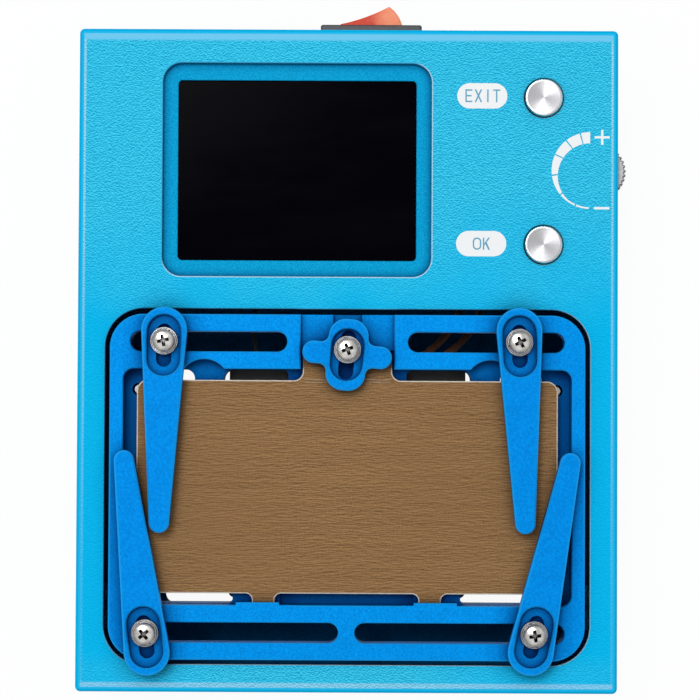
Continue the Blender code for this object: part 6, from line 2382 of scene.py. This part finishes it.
    def scale(self) -> list[Mesh]:
        """The blocks of the tapering scale, and the plus and minus signs beside it.

        Returns:
            The films of ink.
        """
        films = []
        last = len(self.scale_stops) - 2
        for index, (start, end) in enumerate(zip(self.scale_stops, self.scale_stops[1:])):
            trim = math.degrees(self.scale_gap / 2 / self.scale_radius)
            first = start + (trim if index else 0.0)
            final = end - (trim if index < last else 0.0)
            outer = arc(self.scale_centre, self.scale_radius, first, final, 16)
            turns = [first + (final - first) * step / 16 for step in range(16, -1, -1)]
            inner = [self.on_inner_circle(turn) for turn in turns]
            films.append(self.film_of([outer + inner]))
        for x, y, reach, thick in (self.plus, self.minus):
            half, arm = thick / 2, reach / 2
            cross = [
                (x + arm, y + half), (x + half, y + half), (x + half, y + arm), (x - half, y + arm),
                (x - half, y + half), (x - arm, y + half), (x - arm, y - half), (x - half, y - half),
                (x - half, y - arm), (x + half, y - arm), (x + half, y - half), (x + arm, y - half),
            ]
            dash = [(x - arm, y - half), (x + arm, y - half), (x + arm, y + half), (x - arm, y + half)]
            films.append(self.film_of([cross if y > self.scale_centre[1] else dash]))
        return films

    def on_inner_circle(self, angle: float) -> Point:
        """Where a ray from the scale's centre meets the circle that bounds it inside.

        Args:
            angle: Direction of the ray in degrees.

        Returns:
            The point.
        """
        away = Vector((math.cos(math.radians(angle)), math.sin(math.radians(angle))))
        shift = Vector(self.inner_centre) - Vector(self.scale_centre)
        along = shift.dot(away)
        reach = along + math.sqrt(max(0.0, self.inner_radius**2 - shift.length_squared + along**2))
        reach = min(reach, self.scale_radius - 0.35)
        point = Vector(self.scale_centre) + away * reach
        return point.x, point.y


class Internals:
    """The heater, the board and the wires inside, which keep their CAD shapes."""

    def build(self, shop: Workshop) -> None:
        """Dresses what stays as it is in the frame.

        Args:
            shop: The workshop.
        """
        shop.dress(Finishes.ALUMINIUM, "heater_block")
        shop.dress(Finishes.CERAMIC, "ceramic_heater")
        shop.dress(Finishes.PLASTIC, "heater_carrier")
        shop.dress(Finishes.STEEL, "carrier_screw_front", "carrier_screw_rear")
        shop.dress(Finishes.BOARD, "control_board")
        shop.dress(Finishes.BROWN_SLEEVE, "heater_lead_inner", "heater_lead_outer", "power_lead_board")
        shop.dress(Finishes.BLACK_SLEEVE, "temperature_probe", "power_lead_socket")


@dataclass(frozen=True)
class Studio:
    """The pale floor, the soft lights and the camera over the station."""

    camera_place: Triple = (1.35, -11.46, 555.58)
    camera_turn: Triple = (1.503, 0.086, 0.285)
    lens: float = 127.0
    floor_light: float = 0.94
    sky: tuple[Pair, ...] = ((0.0, 1.0), (0.12, 0.3), (0.6, 0.4), (1.0, 1.1))

    def build(self) -> None:
        """Sets up the floor, the world, the key lamp and the camera."""
        self.floor()
        self.world()
        self.lamp("key", (-0.28, 0.4, 1.5), 0.5, 9.5)
        self.camera()

    def floor(self) -> None:
        """A wide pale floor that the camera sees nearly white, with the station's soft shadow on it."""
        mesh = bpy.data.meshes.new("studio_floor")
        reach = 6.0
        corners = [(-reach, -reach, 0.0), (reach, -reach, 0.0), (reach, reach, 0.0), (-reach, reach, 0.0)]
        mesh.from_pydata(corners, [], [(0, 1, 2, 3)])
        book = NodeBook("studio_floor")
        mottle = book.noise(book.place(), 0.01, 2.0)
        book.set(
            Base_Color=book.blend(book.span(mottle, 0.3, 0.7), (0.9, 0.9, 0.9), (0.92, 0.92, 0.92)),
            Roughness=0.9,
            Specular_IOR_Level=0.0,
        )
        rays = book.node("ShaderNodeLightPath").outputs
        seen = book.larger(rays["Is Camera Ray"], rays["Is Glossy Ray"])
        seen = book.larger(seen, rays["Is Transmission Ray"])
        glow = book.node("ShaderNodeEmission", {"Color": (1.0, 1.0, 1.0), "Strength": 1.0}).outputs[0]
        share = book.times(seen, self.floor_light)
        mix = book.node("ShaderNodeMixShader", {0: share, 1: book.shader.outputs[0], 2: glow})
        book.feed(book.tree.nodes["Material Output"].inputs["Surface"], mix.outputs[0])
        mesh.materials.append(book.material)
        in_scene("studio_floor", mesh)

    def world(self) -> None:
        """A sky that is white at the horizon, dim above it and bright overhead."""
        world = bpy.data.worlds.new("studio_world")
        world.use_nodes = True
        nodes, links = world.node_tree.nodes, world.node_tree.links
        direction = nodes.new("ShaderNodeTexCoord").outputs["Generated"]
        parts = nodes.new("ShaderNodeSeparateXYZ")
        links.new(direction, parts.inputs[0])
        ramp = nodes.new("ShaderNodeValToRGB")
        ramp.color_ramp.interpolation = "EASE"
        stops = ramp.color_ramp.elements
        while len(stops) < len(self.sky):
            stops.new(0.5)
        for stop, (height, strength) in zip(stops, self.sky):
            stop.position = height
            stop.color = (strength, strength, strength, 1.0)
        links.new(parts.outputs["Z"], ramp.inputs[0])
        links.new(ramp.outputs[0], nodes["Background"].inputs["Color"])
        bpy.context.scene.world = world

    def lamp(self, name: str, place: Sequence[float], size: float, power: float) -> None:
        """A soft square lamp that looks at the station.

        Args:
            name: The lamp's name.
            place: Where it hangs, in metres.
            size: Its side in metres.
            power: Its power in watts.
        """
        light = bpy.data.lights.new(name, "AREA")
        light.energy, light.size = power, size
        made = in_scene(name, light)
        made.location = place
        made.rotation_euler = (-Vector(place)).to_track_quat("-Z", "Y").to_euler()

    def camera(self) -> None:
        """The camera, nearly straight above the station."""
        data = bpy.data.cameras.new("camera")
        data.lens, data.sensor_width = self.lens, 36.0
        data.clip_start, data.clip_end = 0.01, 20.0
        made = in_scene("camera", data)
        made.location = [(a + b) * MM for a, b in zip(CASE_CENTRE, self.camera_place)]
        made.rotation_euler = [math.radians(angle) for angle in self.camera_turn]
        bpy.context.scene.camera = made


def assemblies() -> list:
    """Every sub-assembly of the station, in the order in which it is put together.

    Returns:
        The sub-assemblies.
    """
    return [
        Case(),
        ClampFrame(),
        MouldPlate(),
        ClampArm("rear_left", -38.2, 1, -1.2, 2.3, 12.0, 60.0),
        ClampArm("rear_right", 35.8, 1, 1.95, 2.4, 28.0, 200.0),
        ClampArm("front_left", -41.8, -1, -7.2, 4.0, 40.0, 300.0),
        ClampArm("front_right", 39.0, -1, 11.7, 3.7, 8.0, 110.0),
        CentreClamp(),
        Display(),
        PushButton("exit", 55.3),
        PushButton("ok", 24.4),
        Thumbwheel(),
        RockerSwitch(),
        PowerSocket(),
        Printing(),
        Internals(),
    ]


def empty_scene() -> None:
    """Clears what the start-up file holds and sets how colours are shown."""
    for old in list(bpy.data.objects):
        bpy.data.objects.remove(old, do_unlink=True)
    bpy.context.scene.view_settings.view_transform = "Standard"


def main() -> None:
    """Builds the station round its frame, lights it and logs the pieces of each sub-assembly."""
    logging.basicConfig(level=logging.INFO, format="%(name)s: %(message)s")
    empty_scene()
    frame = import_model()
    shop = Workshop(frame)
    for assembly in assemblies():
        before = len(shop.made)
        assembly.build(shop)
        LOG.info("%s: %s", type(assembly).__name__, ", ".join(shop.made[before:]))
    Studio().build()


if __name__ == "__main__":
    main()
